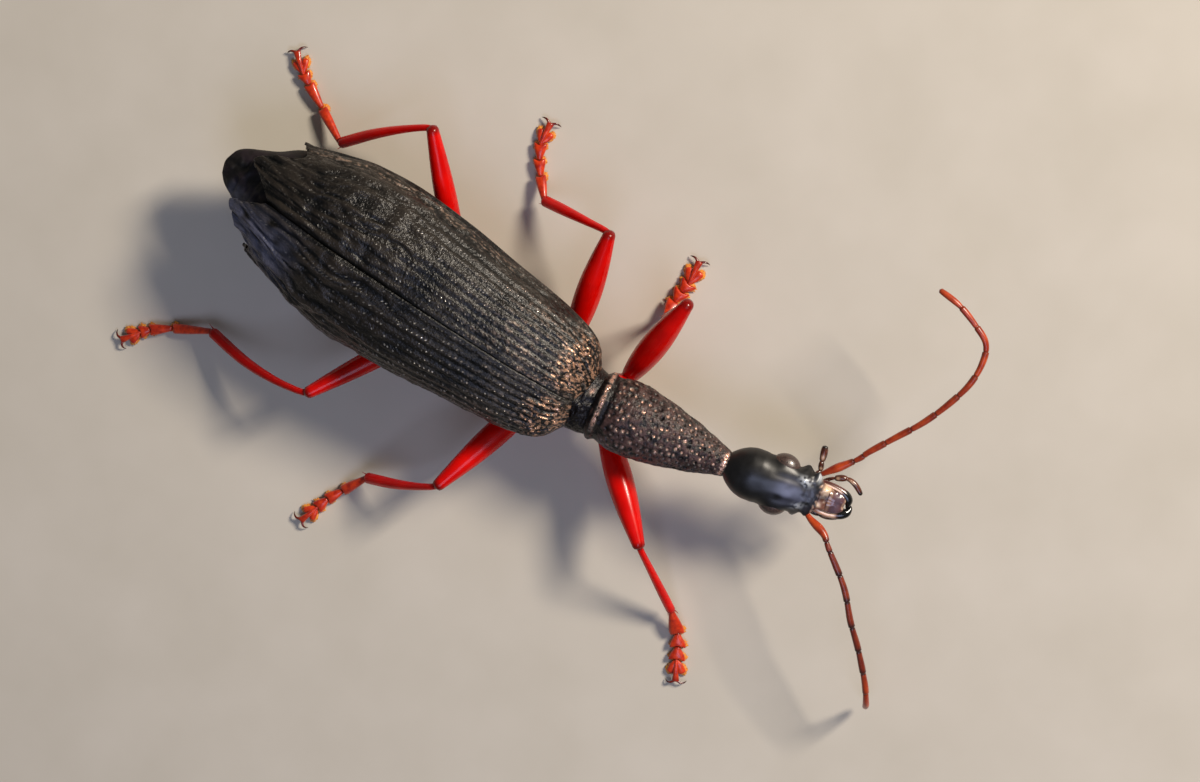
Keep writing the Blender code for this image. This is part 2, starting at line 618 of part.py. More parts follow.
def add_tarsus(name, knee, ankle, joints):
    """The foot: three heart-shaped joints, a two-lobed one, a claw joint and two claws."""
    shin = (ankle - knee).normalized()
    start = ankle + shin * GAP
    pieces = []
    heading, length = joints[0]
    under_ankle = Vector((start.x, start.y, FOOT_AXIS_HEIGHT))
    first_end = Vector((ankle.x, ankle.y, FOOT_AXIS_HEIGHT)) + heading_vector(heading) * length
    path = [start, start + shin * 0.1, under_ankle.lerp(first_end, 0.3), under_ankle.lerp(first_end, 0.7)]
    radii = [TARSOMERE_NECK] * 3 + [TARSOMERE_HALF_WIDTH * 0.92, TARSOMERE_HALF_WIDTH]
    pieces.append(tube(path + [first_end], radii, flatness=0.92))
    position = first_end
    for heading, length in joints[1:3]:
        direction = heading_vector(heading)
        end = position + direction * length
        pieces.append(tube([position - direction * 0.12, position + direction * length * 0.5, end],
                           [TARSOMERE_NECK * 0.8, TARSOMERE_HALF_WIDTH * 0.95, TARSOMERE_HALF_WIDTH],
                           flatness=0.86))
        position = end
    last, claw_segment_length = joints[3]
    for sign in (1, -1):
        outward = heading_vector(last + sign * LOBE_SPREAD)
        low = position - Vector((0, 0, LOBE_DROP))
        path = [low - outward * 0.1, low + outward * LOBE_LENGTH * 0.55, low + outward * LOBE_LENGTH]
        pieces.append(tube(path, LOBE_RADII))
    direction = heading_vector(last)
    path = []
    for ahead, lift in ((-0.1, 0.10), (0.5, 0.14), (claw_segment_length, 0.08)):
        path.append(position + direction * ahead + Vector((0, 0, lift)))
    pieces.append(tube(path, [CLAW_SEGMENT_RADIUS * 0.9, CLAW_SEGMENT_RADIUS * 0.8, CLAW_SEGMENT_RADIUS]))
    tip = path[-1]
    for sign in (1, -1):
        outward = heading_vector(last + sign * CLAW_SPREAD)
        hooked = heading_vector(last + sign * CLAW_SPREAD * 0.7)
        bend = tip + outward * CLAW_LENGTH * 0.55
        end = bend + hooked * CLAW_LENGTH * 0.45 + Vector((0, 0, -0.16))
        pieces.append(tube([tip - outward * 0.06, bend, end],
                           [CLAW_ROOT_RADIUS, CLAW_ROOT_RADIUS * 0.85, CLAW_TIP_RADIUS], 6))
    foot = add_node(name + "_tarsus", pieces[0], "foot")
    boolean(foot, pieces[1:], "UNION")
    ground = bmesh.new()
    bmesh.ops.create_cube(ground, size=GROUND_SIZE)
    bmesh.ops.translate(ground, verts=ground.verts, vec=Vector((start.x, start.y, -GROUND_SIZE / 2)))
    boolean(foot, [ground], "DIFFERENCE")
    keep_largest_body(foot)


def add_legs():
    """Six legs, each from hip to claws."""
    for name, leg in LEGS.items():
        root, knee, ankle = (Vector(leg[key]) for key in ("root", "knee", "ankle"))
        if name.startswith("fore"):
            station = -root.y + PRONOTUM_ORIGIN.y
            half_depth = smooth_value(PRONOTUM_HALF_WIDTHS, station) * PRONOTUM_DEPTH_RATIO
            underside = PRONOTUM_ORIGIN.z - half_depth
        else:
            underside = smooth_value(TRUNK_UNDERSIDES, root.y)
        add_coxa(name, root, underside)
        girth = FEMUR_GIRTHS[name.split("_")[0]]
        add_femur(name, root, knee, girth)
        add_tibia(name, root, knee, ankle, girth, leg["bow"])
        add_tarsus(name, knee, ankle, leg["foot"])


def centre_and_scale():
    """Put the middle of the box's base at the origin, turn millimetres to metres, shade and parent."""
    pieces = [piece for piece in bpy.context.scene.objects if piece.type == "MESH"]
    points = [vertex.co for piece in pieces for vertex in piece.data.vertices]
    low = [min(point[axis] for point in points) for axis in range(3)]
    high = [max(point[axis] for point in points) for axis in range(3)]
    shift = Matrix.Translation((-(low[0] + high[0]) / 2, -(low[1] + high[1]) / 2, -low[2]))
    beetle = bpy.data.objects.new("beetle", None)
    bpy.context.scene.collection.objects.link(beetle)
    for piece in pieces:
        piece.data.transform(Matrix.Scale(MM, 4) @ shift)
        piece.data.shade_smooth()
        piece.data.set_sharp_from_angle(angle=radians(40))
        piece.parent = beetle


def build():
    """Clear the scene and make the whole beetle."""
    for thing in list(bpy.data.objects):
        bpy.data.objects.remove(thing)
    for side in SIDES:
        add_elytron(side)
    add_trunk()
    add_waist()
    add_pronotum()
    add_head()
    for side in SIDES:
        add_antenna(side)
    add_legs()
    centre_and_scale()


build()
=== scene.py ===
# %% [markdown]
# # A ground beetle with red legs, life size
# The solids of this beetle come packed from the CAD step and stay as a fixed frame. Each cell below adds
# what the solids leave out: the pitted shell plates, a head with eyes and jaws, real feelers and feet, and
# the finishes. Everything new is measured in millimetres on the beetle, from the base of the wing covers,
# and is turned to metres in the frame's place when a piece is finished.

# %% Load the frame
from math import cos, exp, floor, hypot, pi, radians, sin

import bmesh
import bpy
from mathutils import Matrix, Vector, noise


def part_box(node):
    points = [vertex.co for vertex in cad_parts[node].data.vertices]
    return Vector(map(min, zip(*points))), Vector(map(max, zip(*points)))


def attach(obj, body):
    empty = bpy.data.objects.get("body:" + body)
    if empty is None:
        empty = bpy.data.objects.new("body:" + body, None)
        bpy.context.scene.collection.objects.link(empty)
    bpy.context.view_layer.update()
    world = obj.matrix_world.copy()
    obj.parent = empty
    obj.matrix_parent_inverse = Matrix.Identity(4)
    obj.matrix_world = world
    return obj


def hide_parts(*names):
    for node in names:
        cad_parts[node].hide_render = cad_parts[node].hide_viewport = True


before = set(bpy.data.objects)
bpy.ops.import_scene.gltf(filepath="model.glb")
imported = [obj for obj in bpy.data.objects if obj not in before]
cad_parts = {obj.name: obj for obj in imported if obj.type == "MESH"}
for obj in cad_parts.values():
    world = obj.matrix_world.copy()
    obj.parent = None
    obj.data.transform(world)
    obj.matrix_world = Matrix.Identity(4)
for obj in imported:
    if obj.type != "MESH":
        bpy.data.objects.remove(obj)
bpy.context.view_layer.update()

cover_left_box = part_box("elytron_left")
cover_right_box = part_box("elytron_right")
MM = 0.001
ORIGIN = Vector(((cover_right_box[0][0] + cover_left_box[1][0]) / 2, cover_left_box[0][1], 0))
SIDES = {"left": 1, "right": -1}
UP = Vector((0, 0, 1))
print("nodes", len(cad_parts), "base of the wing covers at", [round(value / MM, 2) for value in ORIGIN])

# %% [markdown]
# ## Camera
# The photo looks down at the beetle from about 15 degrees to its left, with the head to the lower right.
# A long lens keeps the proportions of a close-up. The picture's right and up directions are written as
# vectors in the beetle's own axes, so that the turn of the beetle in the frame can be read off them.

# %% Camera
CAMERA_TILT = radians(15)
HEAD_ACROSS, HEAD_DOWN = 0.8335, 0.5523
FOCAL_LENGTH, SENSOR_WIDTH = 100, 36
MM_PER_PIXEL, PICTURE_WIDTH = 0.034, 1200
AIM = Vector((0.556, -0.725, 3.4))


def put(name, data):
    """Add an object with this data to the scene."""
    thing = bpy.data.objects.new(name, data)
    bpy.context.scene.collection.objects.link(thing)
    return thing


towards_camera = Vector((sin(CAMERA_TILT), 0, cos(CAMERA_TILT)))
picture_right = Vector((HEAD_DOWN * cos(CAMERA_TILT), -HEAD_ACROSS, -HEAD_DOWN * sin(CAMERA_TILT)))
picture_up = Vector((HEAD_ACROSS * cos(CAMERA_TILT), HEAD_DOWN, -HEAD_ACROSS * sin(CAMERA_TILT)))
distance = FOCAL_LENGTH / SENSOR_WIDTH * PICTURE_WIDTH * MM_PER_PIXEL
camera = put("camera", bpy.data.cameras.new("camera"))
camera.data.lens = FOCAL_LENGTH
camera.data.sensor_width = SENSOR_WIDTH
camera.data.clip_start = 0.001
camera.matrix_world = Matrix((picture_right, picture_up, towards_camera)).transposed().to_4x4()
camera.location = ORIGIN + (AIM + towards_camera * distance) * MM
bpy.context.scene.camera = camera
print("camera", round(distance, 1), "mm from the beetle")

# %% [markdown]
# ## Colours and nodes
# Colours are written as sRGB hex values and turned to the linear values that the renderer works with. A
# finish is a material with a short method for each kind of node, so that the cells below can say what
# happens to a colour, and not how nodes are wired.

# %% Helpers for materials
CHITIN_INDEX = 1.56


def linear(code):
    """Turn an sRGB hex colour into linear red, green, blue and alpha."""
    channels = [int(code[k:k + 2], 16) / 255 for k in (1, 3, 5)]
    return [c / 12.92 if c <= 0.04045 else ((c + 0.055) / 1.055) ** 2.4 for c in channels] + [1]


class Finish:
    """A Principled material. Inputs of its nodes are values, sRGB hex colours or outputs of other nodes."""

    def __init__(self, name, **sockets):
        self.material = bpy.data.materials.new(name)
        self.material.use_nodes = True
        self.nodes, self.links = self.material.node_tree.nodes, self.material.node_tree.links
        self.shade(IOR=CHITIN_INDEX, **sockets)
        self.place = self.add("TexCoord").outputs["Object"]

    def feed(self, node, name, value):
        """Link an output to an input, or set the input."""
        if isinstance(value, bpy.types.NodeSocket):
            self.links.new(value, node.inputs[name])
        else:
            node.inputs[name].default_value = linear(value) if isinstance(value, str) else value

    def shade(self, **sockets):
        """Set or link sockets of the Principled shader."""
        for name, value in sockets.items():
            self.feed(self.nodes["Principled BSDF"], name.replace("_", " "), value)

    def add(self, kind, inputs=None, **properties):
        """Add one node."""
        node = self.nodes.new("ShaderNode" + kind)
        for name, value in properties.items():
            setattr(node, name, value)
        for name, value in (inputs or {}).items():
            self.feed(node, name, value)
        return node

    def mark(self, name):
        """One of the marks that every mesh carries."""
        return self.add("Attribute", attribute_name=name).outputs["Fac"]

    def maths(self, operation, *values, clamp=False):
        return self.add("Math", dict(enumerate(values)), operation=operation, use_clamp=clamp).outputs[0]

    def vectors(self, operation, *values):
        return self.add("VectorMath", dict(enumerate(values)), operation=operation).outputs

    def between(self, value, low, high, new_low=0, new_high=1):
        """Map a range to another one, and stay inside it."""
        return self.add("MapRange", {"Value": value, "From Min": low, "From Max": high, "To Min": new_low,
                                     "To Max": new_high}).outputs["Result"]

    def mix(self, share, first, second):
        """Mix two colours."""
        return self.add("Mix", {0: share, 6: first, 7: second}, data_type="RGBA").outputs[2]

    def ramp(self, value, *stops):
        """Turn a value into a colour between two stops."""
        node = self.add("ValToRGB", {"Fac": value})
        for stop, (position, colour) in zip(node.color_ramp.elements, stops):
            stop.position, stop.color = position, linear(colour)
        return node.outputs["Color"]

    def clouds(self, place, size_mm, detail, roughness=0.5):
        """Noise with patches of about this size."""
        return self.add("TexNoise", {"Vector": place, "Scale": 1 / (size_mm * MM), "Detail": detail,
                                     "Roughness": roughness}).outputs["Fac"]

    def bump(self, height, strength, depth_mm, invert=False):
        """Let a height tilt the shading."""
        inputs = {"Height": height, "Strength": strength, "Distance": depth_mm * MM}
        self.shade(Normal=self.add("Bump", inputs, invert=invert).outputs["Normal"])


# %% [markdown]
# ## Shell finishes
# A beetle's shell is chitin, a hard clear polymer with an index of refraction of about 1.56, darkened by
# tanning and covered by a thin waxy layer. The wing covers are nearly black with a brown cast. Fine
# punctures run along them in rows, 0.17 mm apart, and each carries a painted glint, a pale metallic spot
# of random brightness. Thin layers in the cuticle reflect copper at the shoulders and on the pronotum, and
# painted glints and sheen are laid over that copper. Every mesh carries marks that the materials read:
# where its pits lie, where its tone changes, how high its relief stands, which paints shade into low places
# and light onto ridges, where a painted blue-grey sheen of the sky lies on it, and where painted highlights
# lie.

# %% Rows of punctures
MARKS = ("pit", "tone", "painted_relief_shade", "painted_sky_sheen", "painted_highlight")
# Blue-grey of a painted sky sheen, a reflection of the sky painted into the colour.
PAINTED_SKY_SHEEN_GREY = "#62667e"
# How far the punctures stray, and how unevenly bright their painted glints are.
DOT_JITTER = 0.4
DOT_CONTRAST = 2.6


def puncture_rows(shell, rows, steps, row_mm, step_mm, radius_mm):
    """Dots in rows along the flat coordinates, and a random strength of painted glint for each of them."""
    surface = shell.add("UVMap", uv_map="surface").outputs["UV"]
    cells = shell.vectors("MULTIPLY", surface, (rows, steps, 0))[0]
    row = shell.vectors("MULTIPLY", shell.vectors("FLOOR", cells)[0], (1.37, 0, 0))[0]
    start = shell.add("TexWhiteNoise", {"Vector": row}).outputs["Color"]
    moved = shell.vectors("ADD", cells, shell.vectors("MULTIPLY", start, (0, 7, 0))[0])[0]
    own = shell.add("TexWhiteNoise", {"Vector": shell.vectors("FLOOR", moved)[0]}).outputs
    jitter = shell.vectors("MULTIPLY", own["Color"], (DOT_JITTER, DOT_JITTER, 0))[0]
    middle = 0.5 + DOT_JITTER / 2
    away = shell.vectors("SUBTRACT", shell.vectors("FRACTION", moved)[0], (middle, middle, 0))[0]
    flat = shell.vectors("MULTIPLY", shell.vectors("ADD", away, jitter)[0], (row_mm, step_mm, 0))[0]
    far = shell.vectors("LENGTH", flat)["Value"]
    dots = shell.between(far, radius_mm * 1.3, radius_mm * 0.4)
    return dots, shell.maths("POWER", own["Value"], DOT_CONTRAST)


# %% Wing cover and pronotum cuticle
CLOUD_MM, FLECK_MM, SPARKLE_MM = 0.3, 0.1, 0.2
GRAIN_SHARE, PAINTED_RELIEF_SHADE_SHARE = 0.9, 1.2
DEEPEST, HIGHEST = 1.05, 2.1
PIT_DEPTH = 1.4
PAINTED_GLINT_SILVER, PAINTED_SPARKLE = "#e2ded8", "#cfc8bf"


def pitted_cuticle(name, painted_groove_shade, ridge, painted_glint, roughness, grain_mm, dots=None):
    """Dark shell with painted shade in its grooves, and painted metallic glints where tone or punctures are.
    """
    shell = Finish(name, Specular_IOR_Level=0.32)
    pit, tone, painted_relief_shade, painted_sky_sheen = (shell.mark(mark) for mark in MARKS[:4])
    drawn_out = shell.vectors("MULTIPLY", shell.place, (1, 0.6 if dots else 1, 1))[0]
    grain = shell.clouds(shell.place, grain_mm, 2, roughness=0.7)
    depth = shell.maths("MULTIPLY_ADD", grain, GRAIN_SHARE, shell.clouds(drawn_out, CLOUD_MM, 5))
    # Painted shade and light: low relief darkens the colour to near black, and ridges lighten it.
    depth = shell.maths("MULTIPLY_ADD", painted_relief_shade, PAINTED_RELIEF_SHADE_SHARE, depth)
    tint = shell.ramp(shell.between(depth, DEEPEST, HIGHEST), (0, painted_groove_shade), (1, ridge))
    # Copper flecks where the tone is high: the bronze of the cuticle, with painted glints and sheen where
    # the tone marks them.
    flakes = shell.between(shell.clouds(drawn_out, FLECK_MM, 3), *((0.48, 0.66) if dots else (0.38, 0.5)))
    metal_and_painted_glint = shell.maths("MULTIPLY", tone, flakes)
    height = grain
    if dots:
        # Painted glints: a pale metallic spot in each puncture, bright in a random share of them, and sunk a
        # little.
        spots, painted_glint_strength = puncture_rows(shell, *dots)
        seen = shell.maths("MULTIPLY", spots, pit)
        metal_and_painted_glint = shell.maths("MAXIMUM", metal_and_painted_glint, shell.maths("MULTIPLY", seen, painted_glint_strength))
        height = shell.maths("MULTIPLY_ADD", seen, -PIT_DEPTH, height)
        # Painted sparkles: a random share of small cells is turned pale.
        sparkle_cells = shell.add("TexVoronoi", {"Vector": shell.place, "Scale": 1 / (SPARKLE_MM * MM)}).outputs
        near = shell.between(sparkle_cells["Distance"], 0.12, 0.06)
        chosen = shell.between(sparkle_cells["Color"], 0.74, 0.95)
        tint = shell.mix(shell.maths("MULTIPLY", near, chosen), tint, PAINTED_SPARKLE)
    # Painted glint colour: silver where the tone is low, the given glint colour where it is high.
    painted_glint_colour = shell.mix(shell.maths("MULTIPLY", tone, 2.5, clamp=True), PAINTED_GLINT_SILVER, painted_glint)
    shell.shade(Base_Color=shell.mix(metal_and_painted_glint, shell.mix(painted_sky_sheen, tint, PAINTED_SKY_SHEEN_GREY), painted_glint_colour), Metallic=metal_and_painted_glint,
                Roughness=shell.between(metal_and_painted_glint, 0, 1, roughness, roughness * 0.6))
    shell.bump(height, 0.9, 0.03)
    return shell.material


PIT_ROWS, PIT_ROW_MM, PIT_STEP_MM, PIT_RADIUS_MM = 12, 0.32, 0.17, 0.034
COVER_LENGTH_MM = 13.2
dots = PIT_ROWS, COVER_LENGTH_MM / PIT_STEP_MM, PIT_ROW_MM, PIT_STEP_MM, PIT_RADIUS_MM
# Near-black painted shade in the grooves, dark brown on the ridges, and a pale copper painted glint.
cover_cuticle = pitted_cuticle("pitted_black_brown_chitin", "#020202", "#29241f", "#ffc8a4", 0.31, 0.08,
                               dots)
# The pronotum: near-black painted shade in its pits and grooves, purple-brown ridges, pale pink painted
# glints.
shield_cuticle = pitted_cuticle("coarsely_pitted_bronze_chitin", "#0c0708", "#4f3a37", "#ffcbb4", 0.3, 0.06)
print("pitted cuticles", cover_cuticle.name, shield_cuticle.name)

# %% [markdown]
# The head, belly and the joints between the plates are smooth and glossy. The jaws are tanned red-brown with
# black tips. The legs are a clear deep red, in which light goes a little way, and darker at the joints.
# Feelers and feet are dulled by fine hair, which a little sheen stands for. Painted highlights on the
# mouthparts are pale copper, slightly metallic and a little smoother, and those on the forehead nearly
# white.

# %% Smooth cuticles
# Colours of the painted highlights: pale copper, and warmer where the tone is high.
PAINTED_HIGHLIGHT_PALE, PAINTED_HIGHLIGHT_WARM = "#efc9a8", "#ffdcb8"


def smooth_cuticle(name, low, high, end, patch_mm, roughness, painted_highlight_colour=PAINTED_HIGHLIGHT_PALE, **sockets):
    """Glossy shell with slow changes of colour, another colour where its tone is high, and painted
    highlights.
    """
    shell = Finish(name, **sockets)
    tone, _, painted_sky_sheen, painted_highlight = (shell.mark(mark) for mark in MARKS[1:])
    cloud = shell.clouds(shell.place, patch_mm, 3)
    tint = shell.mix(tone, shell.ramp(cloud, (0.35, low), (0.68, high)), end)
    # Mix in the painted sky sheen, then the painted highlights.
    tint = shell.mix(painted_highlight, shell.mix(painted_sky_sheen, tint, PAINTED_SKY_SHEEN_GREY), shell.mix(tone, painted_highlight_colour, PAINTED_HIGHLIGHT_WARM))
    rough = shell.between(cloud, 0, 1, roughness * 0.8, roughness * 1.25)
    shell.shade(Base_Color=tint, Metallic=shell.maths("MULTIPLY", painted_highlight, 0.25),
                Roughness=shell.maths("MULTIPLY", rough, shell.between(painted_highlight, 0, 1, 1, 0.8)))
    shell.bump(shell.clouds(shell.place, 0.04, 2), 0.15, 0.01)
    return shell.material


# The belly's end colour is the purple-brown of the painted highlight on its tip.
belly_cuticle = smooth_cuticle("smooth_black_chitin", "#050404", "#0f0c0c", "#2b2027", 0.4, 0.6,
                               Specular_IOR_Level=0.25)
# The head's painted highlights are nearly white.
head_cuticle = smooth_cuticle("polished_black_chitin", "#080707", "#131212", "#6e473b", 0.4, 0.36, "#e2e8ee")
jaw_cuticle = smooth_cuticle("red_brown_chitin", "#4a2521", "#70433e", "#0b0908", 0.2, 0.2, Coat_Weight=0.4)
palp_cuticle = smooth_cuticle("dark_brown_palp_chitin", "#32150d", "#6b321d", "#0c0a08", 0.2, 0.24,
                              Coat_Weight=0.3)
# Legs: deep red, darker at the joints and under painted shade.
leg_cuticle = smooth_cuticle("glossy_red_chitin", "#c40300", "#da0600", "#3a0805", 0.7, 0.24,
                             Coat_Weight=0.1, Coat_Roughness=0.08, Specular_IOR_Level=0.22,
                             Subsurface_Weight=0.4, Subsurface_Scale=0.4 * MM)
foot_cuticle = smooth_cuticle("orange_red_hairy_chitin", "#a81a02", "#dd3d06", "#701103", 0.18, 0.32,
                              Coat_Weight=0.15, Sheen_Weight=0.06)
pad_hair = smooth_cuticle("yellow_orange_pad_hair", "#c8690c", "#f0a128", "#f3c45c", 0.06, 0.6,
                          Sheen_Weight=0.3)
claw_cuticle = smooth_cuticle("dark_brown_claw_chitin", "#7a1a06", "#93250a", "#1c0c08", 0.15, 0.25,
                              Coat_Weight=0.3)
# Feelers: red-brown, darker at the joints and under painted shade.
feeler_cuticle = smooth_cuticle("fine_haired_red_brown_chitin", "#93290b", "#c04716", "#34110a", 0.3, 0.3,
                                Sheen_Weight=0.06)
print("smooth cuticles made")

# %% [markdown]
# A compound eye is a dome of thousands of six-sided lenses, each about 0.03 mm wide. They are too fine to
# be modelled, so the bump comes from a Voronoi pattern of that size under a clear coat.

# %% Eye
EYE_LENS_MM = 0.03
eyes = Finish("compound_eye_lenses", Roughness=0.36, Coat_Weight=0.8, Coat_Roughness=0.2)
lens = eyes.add("TexVoronoi", {"Vector": eyes.place, "Scale": 1 / (EYE_LENS_MM * MM)}).outputs["Distance"]
eyes.shade(Base_Color=eyes.ramp(lens, (0.1, "#5d463e"), (0.8, "#1c1412")))
eyes.bump(lens, 0.4, 0.01, invert=True)
print("eye", eyes.material.name)

# %% [markdown]
# ## Making and finishing a piece
# Most parts of an insect are sheets or tubes. Both start here from a grid: each vertex is moved to where a
# shape function puts it, from how far across and along the grid it lies. For a tube the two long sides are
# merged and the ends filled. Sizes along a part come from a few measured stations with a smooth curve
# through them, and small unevenness from a noise function that gives the same values at each run.

# %% Helpers for sizes
def read(stations, position):
    """Read a size between its stations on a smooth curve that never overshoots them."""
    if position <= stations[0][0]:
        return stations[0][1]
    if position >= stations[-1][0]:
        return stations[-1][1]
    index = max(k for k, (start, _) in enumerate(stations) if start <= position)
    slopes = [(b[1] - a[1]) / (b[0] - a[0]) for a, b in zip(stations, stations[1:])]
    tangents = [slopes[0]]
    for a, b in zip(slopes, slopes[1:]):
        tangents.append(2 * a * b / (a + b) if a * b > 0 else 0.0)
    tangents.append(slopes[-1])
    (start, low), (end, high) = stations[index], stations[index + 1]
    span = end - start
    t = (position - start) / span
    return ((2 * t ** 3 - 3 * t ** 2 + 1) * low + (3 * t ** 2 - 2 * t ** 3) * high
            + span * ((t ** 3 - 2 * t ** 2 + t) * tangents[index] + (t ** 3 - t ** 2) * tangents[index + 1]))


def ease(value, start=0, length=1):
    """Go smoothly from 0 to 1 over a length from the start on, and stay at the ends."""
    share = min(max((value - start) / length, 0), 1)
    return share * share * (3 - 2 * share)


def hump(value, middle, width):
    """A smooth bump of height 1 around the middle."""
    return exp(-((value - middle) / width) ** 2)


def lengths_along(points):
    """How far along a line of points each of them lies."""
    lengths = [0]
    for near, far in zip(points, points[1:]):
        lengths.append(lengths[-1] + (far - near).length)
    return lengths


def wander(x, y, z):
    """Smooth random values between about -1 and 1."""
    return noise.noise(Vector((x, y, z)))


# %% Helpers for shapes
def new_body():
    """An empty mesh with the layers that every piece has: flat coordinates and the marks."""
    body = bmesh.new()
    body.loops.layers.uv.new("surface")
    for mark in MARKS:
        body.verts.layers.float.new(mark)
    return body


def sheet(columns, rows, shape):
    """A grid whose vertices go where shape(across, along) says, which also gives their marks."""
    body = new_body()
    bmesh.ops.create_grid(body, x_segments=columns, y_segments=rows, size=0.5, calc_uvs=True)
    for vert in body.verts:
        vert.co, marks = shape(vert.co.x + 0.5, vert.co.y + 0.5)
        for mark, value in marks.items():
            vert[body.verts.layers.float[mark]] = value
    return body


def tube(columns, rows, shape):
    """A sheet rolled into a closed tube: its long sides are merged and its ends filled."""
    body = sheet(columns, rows, shape)
    bmesh.ops.remove_doubles(body, verts=body.verts, dist=0.0005)
    bmesh.ops.holes_fill(body, edges=[edge for edge in body.edges if edge.is_boundary], sides=0)
    return body


def ball(centre, axes, columns=28):
    """A closed ellipsoid with the given three half-axes."""
    body = new_body()
    bmesh.ops.create_uvsphere(body, u_segments=columns, v_segments=columns * 2 // 3, radius=1, calc_uvs=True)
    turn = Matrix(axes).transposed().to_4x4()
    bmesh.ops.transform(body, matrix=Matrix.Translation(centre) @ turn, verts=body.verts)
    return body


def mesh_of(name, body):
    """Turn a body into a mesh and free it."""
    mesh = bpy.data.meshes.new(name)
    body.to_mesh(mesh)
    body.free()
    return mesh


def merge_into(body, other):
    """Add the faces of another body to this one."""
    mesh = mesh_of("passing", other)
    body.from_mesh(mesh)
    bpy.data.meshes.remove(mesh)


def finish_piece(name, body, material, nodes=()):
    """Face a body outwards, turn it to metres in the frame's place, and ride it on the frame."""
    bmesh.ops.recalc_face_normals(body, faces=body.faces)
    bmesh.ops.transform(body, matrix=Matrix.Translation(ORIGIN) @ Matrix.Scale(MM, 4), verts=body.verts)
    mesh = mesh_of(name, body)
    mesh.shade_smooth()
    mesh.materials.append(material)
    piece = put(name, mesh)
    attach(piece, "root")
    if nodes:
        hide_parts(*nodes)
    print(name, len(mesh.polygons), "faces")


# %% [markdown]
# ## Wing covers
# The elytra are hardened front wings that meet in a straight seam. In cross-section each is an arch from the
# seam to the side edge, where it folds under as a narrow strip, the epipleuron. At the rear they end in a
# slant with a small outer tooth, and their inner corners part in a V. The rows of punctures lie in shallow
# furrows, clear from the base to past the middle, and give way to wavy ribs and wrinkles at the rear and
# the sides. A grid bent over the arch makes the plate, and Solidify gives it the thickness of a real shell.

# %% Wing cover sizes
COVER_HALF_WIDTHS = ((-0.36, 1.18), (-0.2, 1.44), (0.0, 1.74), (0.35, 2.02), (0.8, 2.2), (2.0, 2.45),
                     (4.0, 2.67), (6.0, 2.9), (8.0, 3.0), (9.6, 2.86), (10.8, 2.54), (12.2, 2.06),
                     (13.5, 1.72))
COVER_TOPS = ((-0.36, 4.32), (0.0, 4.58), (0.8, 4.95), (3.0, 5.36), (6.0, 5.5), (9.0, 5.44), (11.0, 5.18),
              (12.2, 4.8), (13.5, 4.02))
COVER_END = ((0.0, 12.15), (0.12, 12.86), (0.24, 13.36), (0.34, 13.18), (0.45, 12.82), (0.56, 12.32),
             (0.63, 11.96), (0.68, 11.88), (0.8, 11.96), (0.9, 12.07), (1.0, 12.26))
COVER_START, BASE_CURVE = -0.36, 0.22
FOLD_SHARE, FOLD_IN, FOLD_DOWN = 0.1, 0.26, 0.34
SIDE_EDGE_HEIGHT, ARCH_ROUNDNESS, COVER_THICKNESS = 3.35, 0.86, 0.1
SEAM_HALF_GAP, REAR_HALF_GAP, GAP_STARTS = 0.008, 0.14, 11.4


def arch_lengths(width, height, steps=60):
    """How much of the arch is covered at each share of its turn, so that the rows can be even."""
    turns = [pi / 2 * k / steps for k in range(steps + 1)]
    places = [Vector((width * sin(turn) ** ARCH_ROUNDNESS, height * max(cos(turn), 0) ** ARCH_ROUNDNESS))
              for turn in turns]
    lengths = lengths_along(places)
    return [(k / steps, length / lengths[-1]) for k, length in enumerate(lengths)]


ROW_SHARES = arch_lengths(width=2.8, height=2.05)


def cover_arch(across, along):
    """A point of the left wing cover, the direction away from the beetle there, and how far over it lies."""
    spread = min(across / (1 - FOLD_SHARE), 1)
    fold = max(across - (1 - FOLD_SHARE), 0) / FOLD_SHARE
    angle = spread * pi / 2
    base = COVER_START + BASE_CURVE * (1 - spread) ** 6
    end = read(COVER_END, spread) - 0.5 * min(fold * 4, 1)
    y = base + (end - base) * along
    half_width = read(COVER_HALF_WIDTHS, y)
    seam = SEAM_HALF_GAP + REAR_HALF_GAP * ease((y - GAP_STARTS) / 2.0)
    x = seam + (half_width - seam) * sin(angle) ** ARCH_ROUNDNESS
    z = SIDE_EDGE_HEIGHT + (read(COVER_TOPS, y) - SIDE_EDGE_HEIGHT) * max(cos(angle), 0) ** ARCH_ROUNDNESS
    outwards = Vector((sin(angle) * (1 - 0.3 * fold), 0, cos(angle) - 0.3 * fold))
    return Vector((x - FOLD_IN * fold ** 1.3, y, z - FOLD_DOWN * fold)), outwards, spread, fold


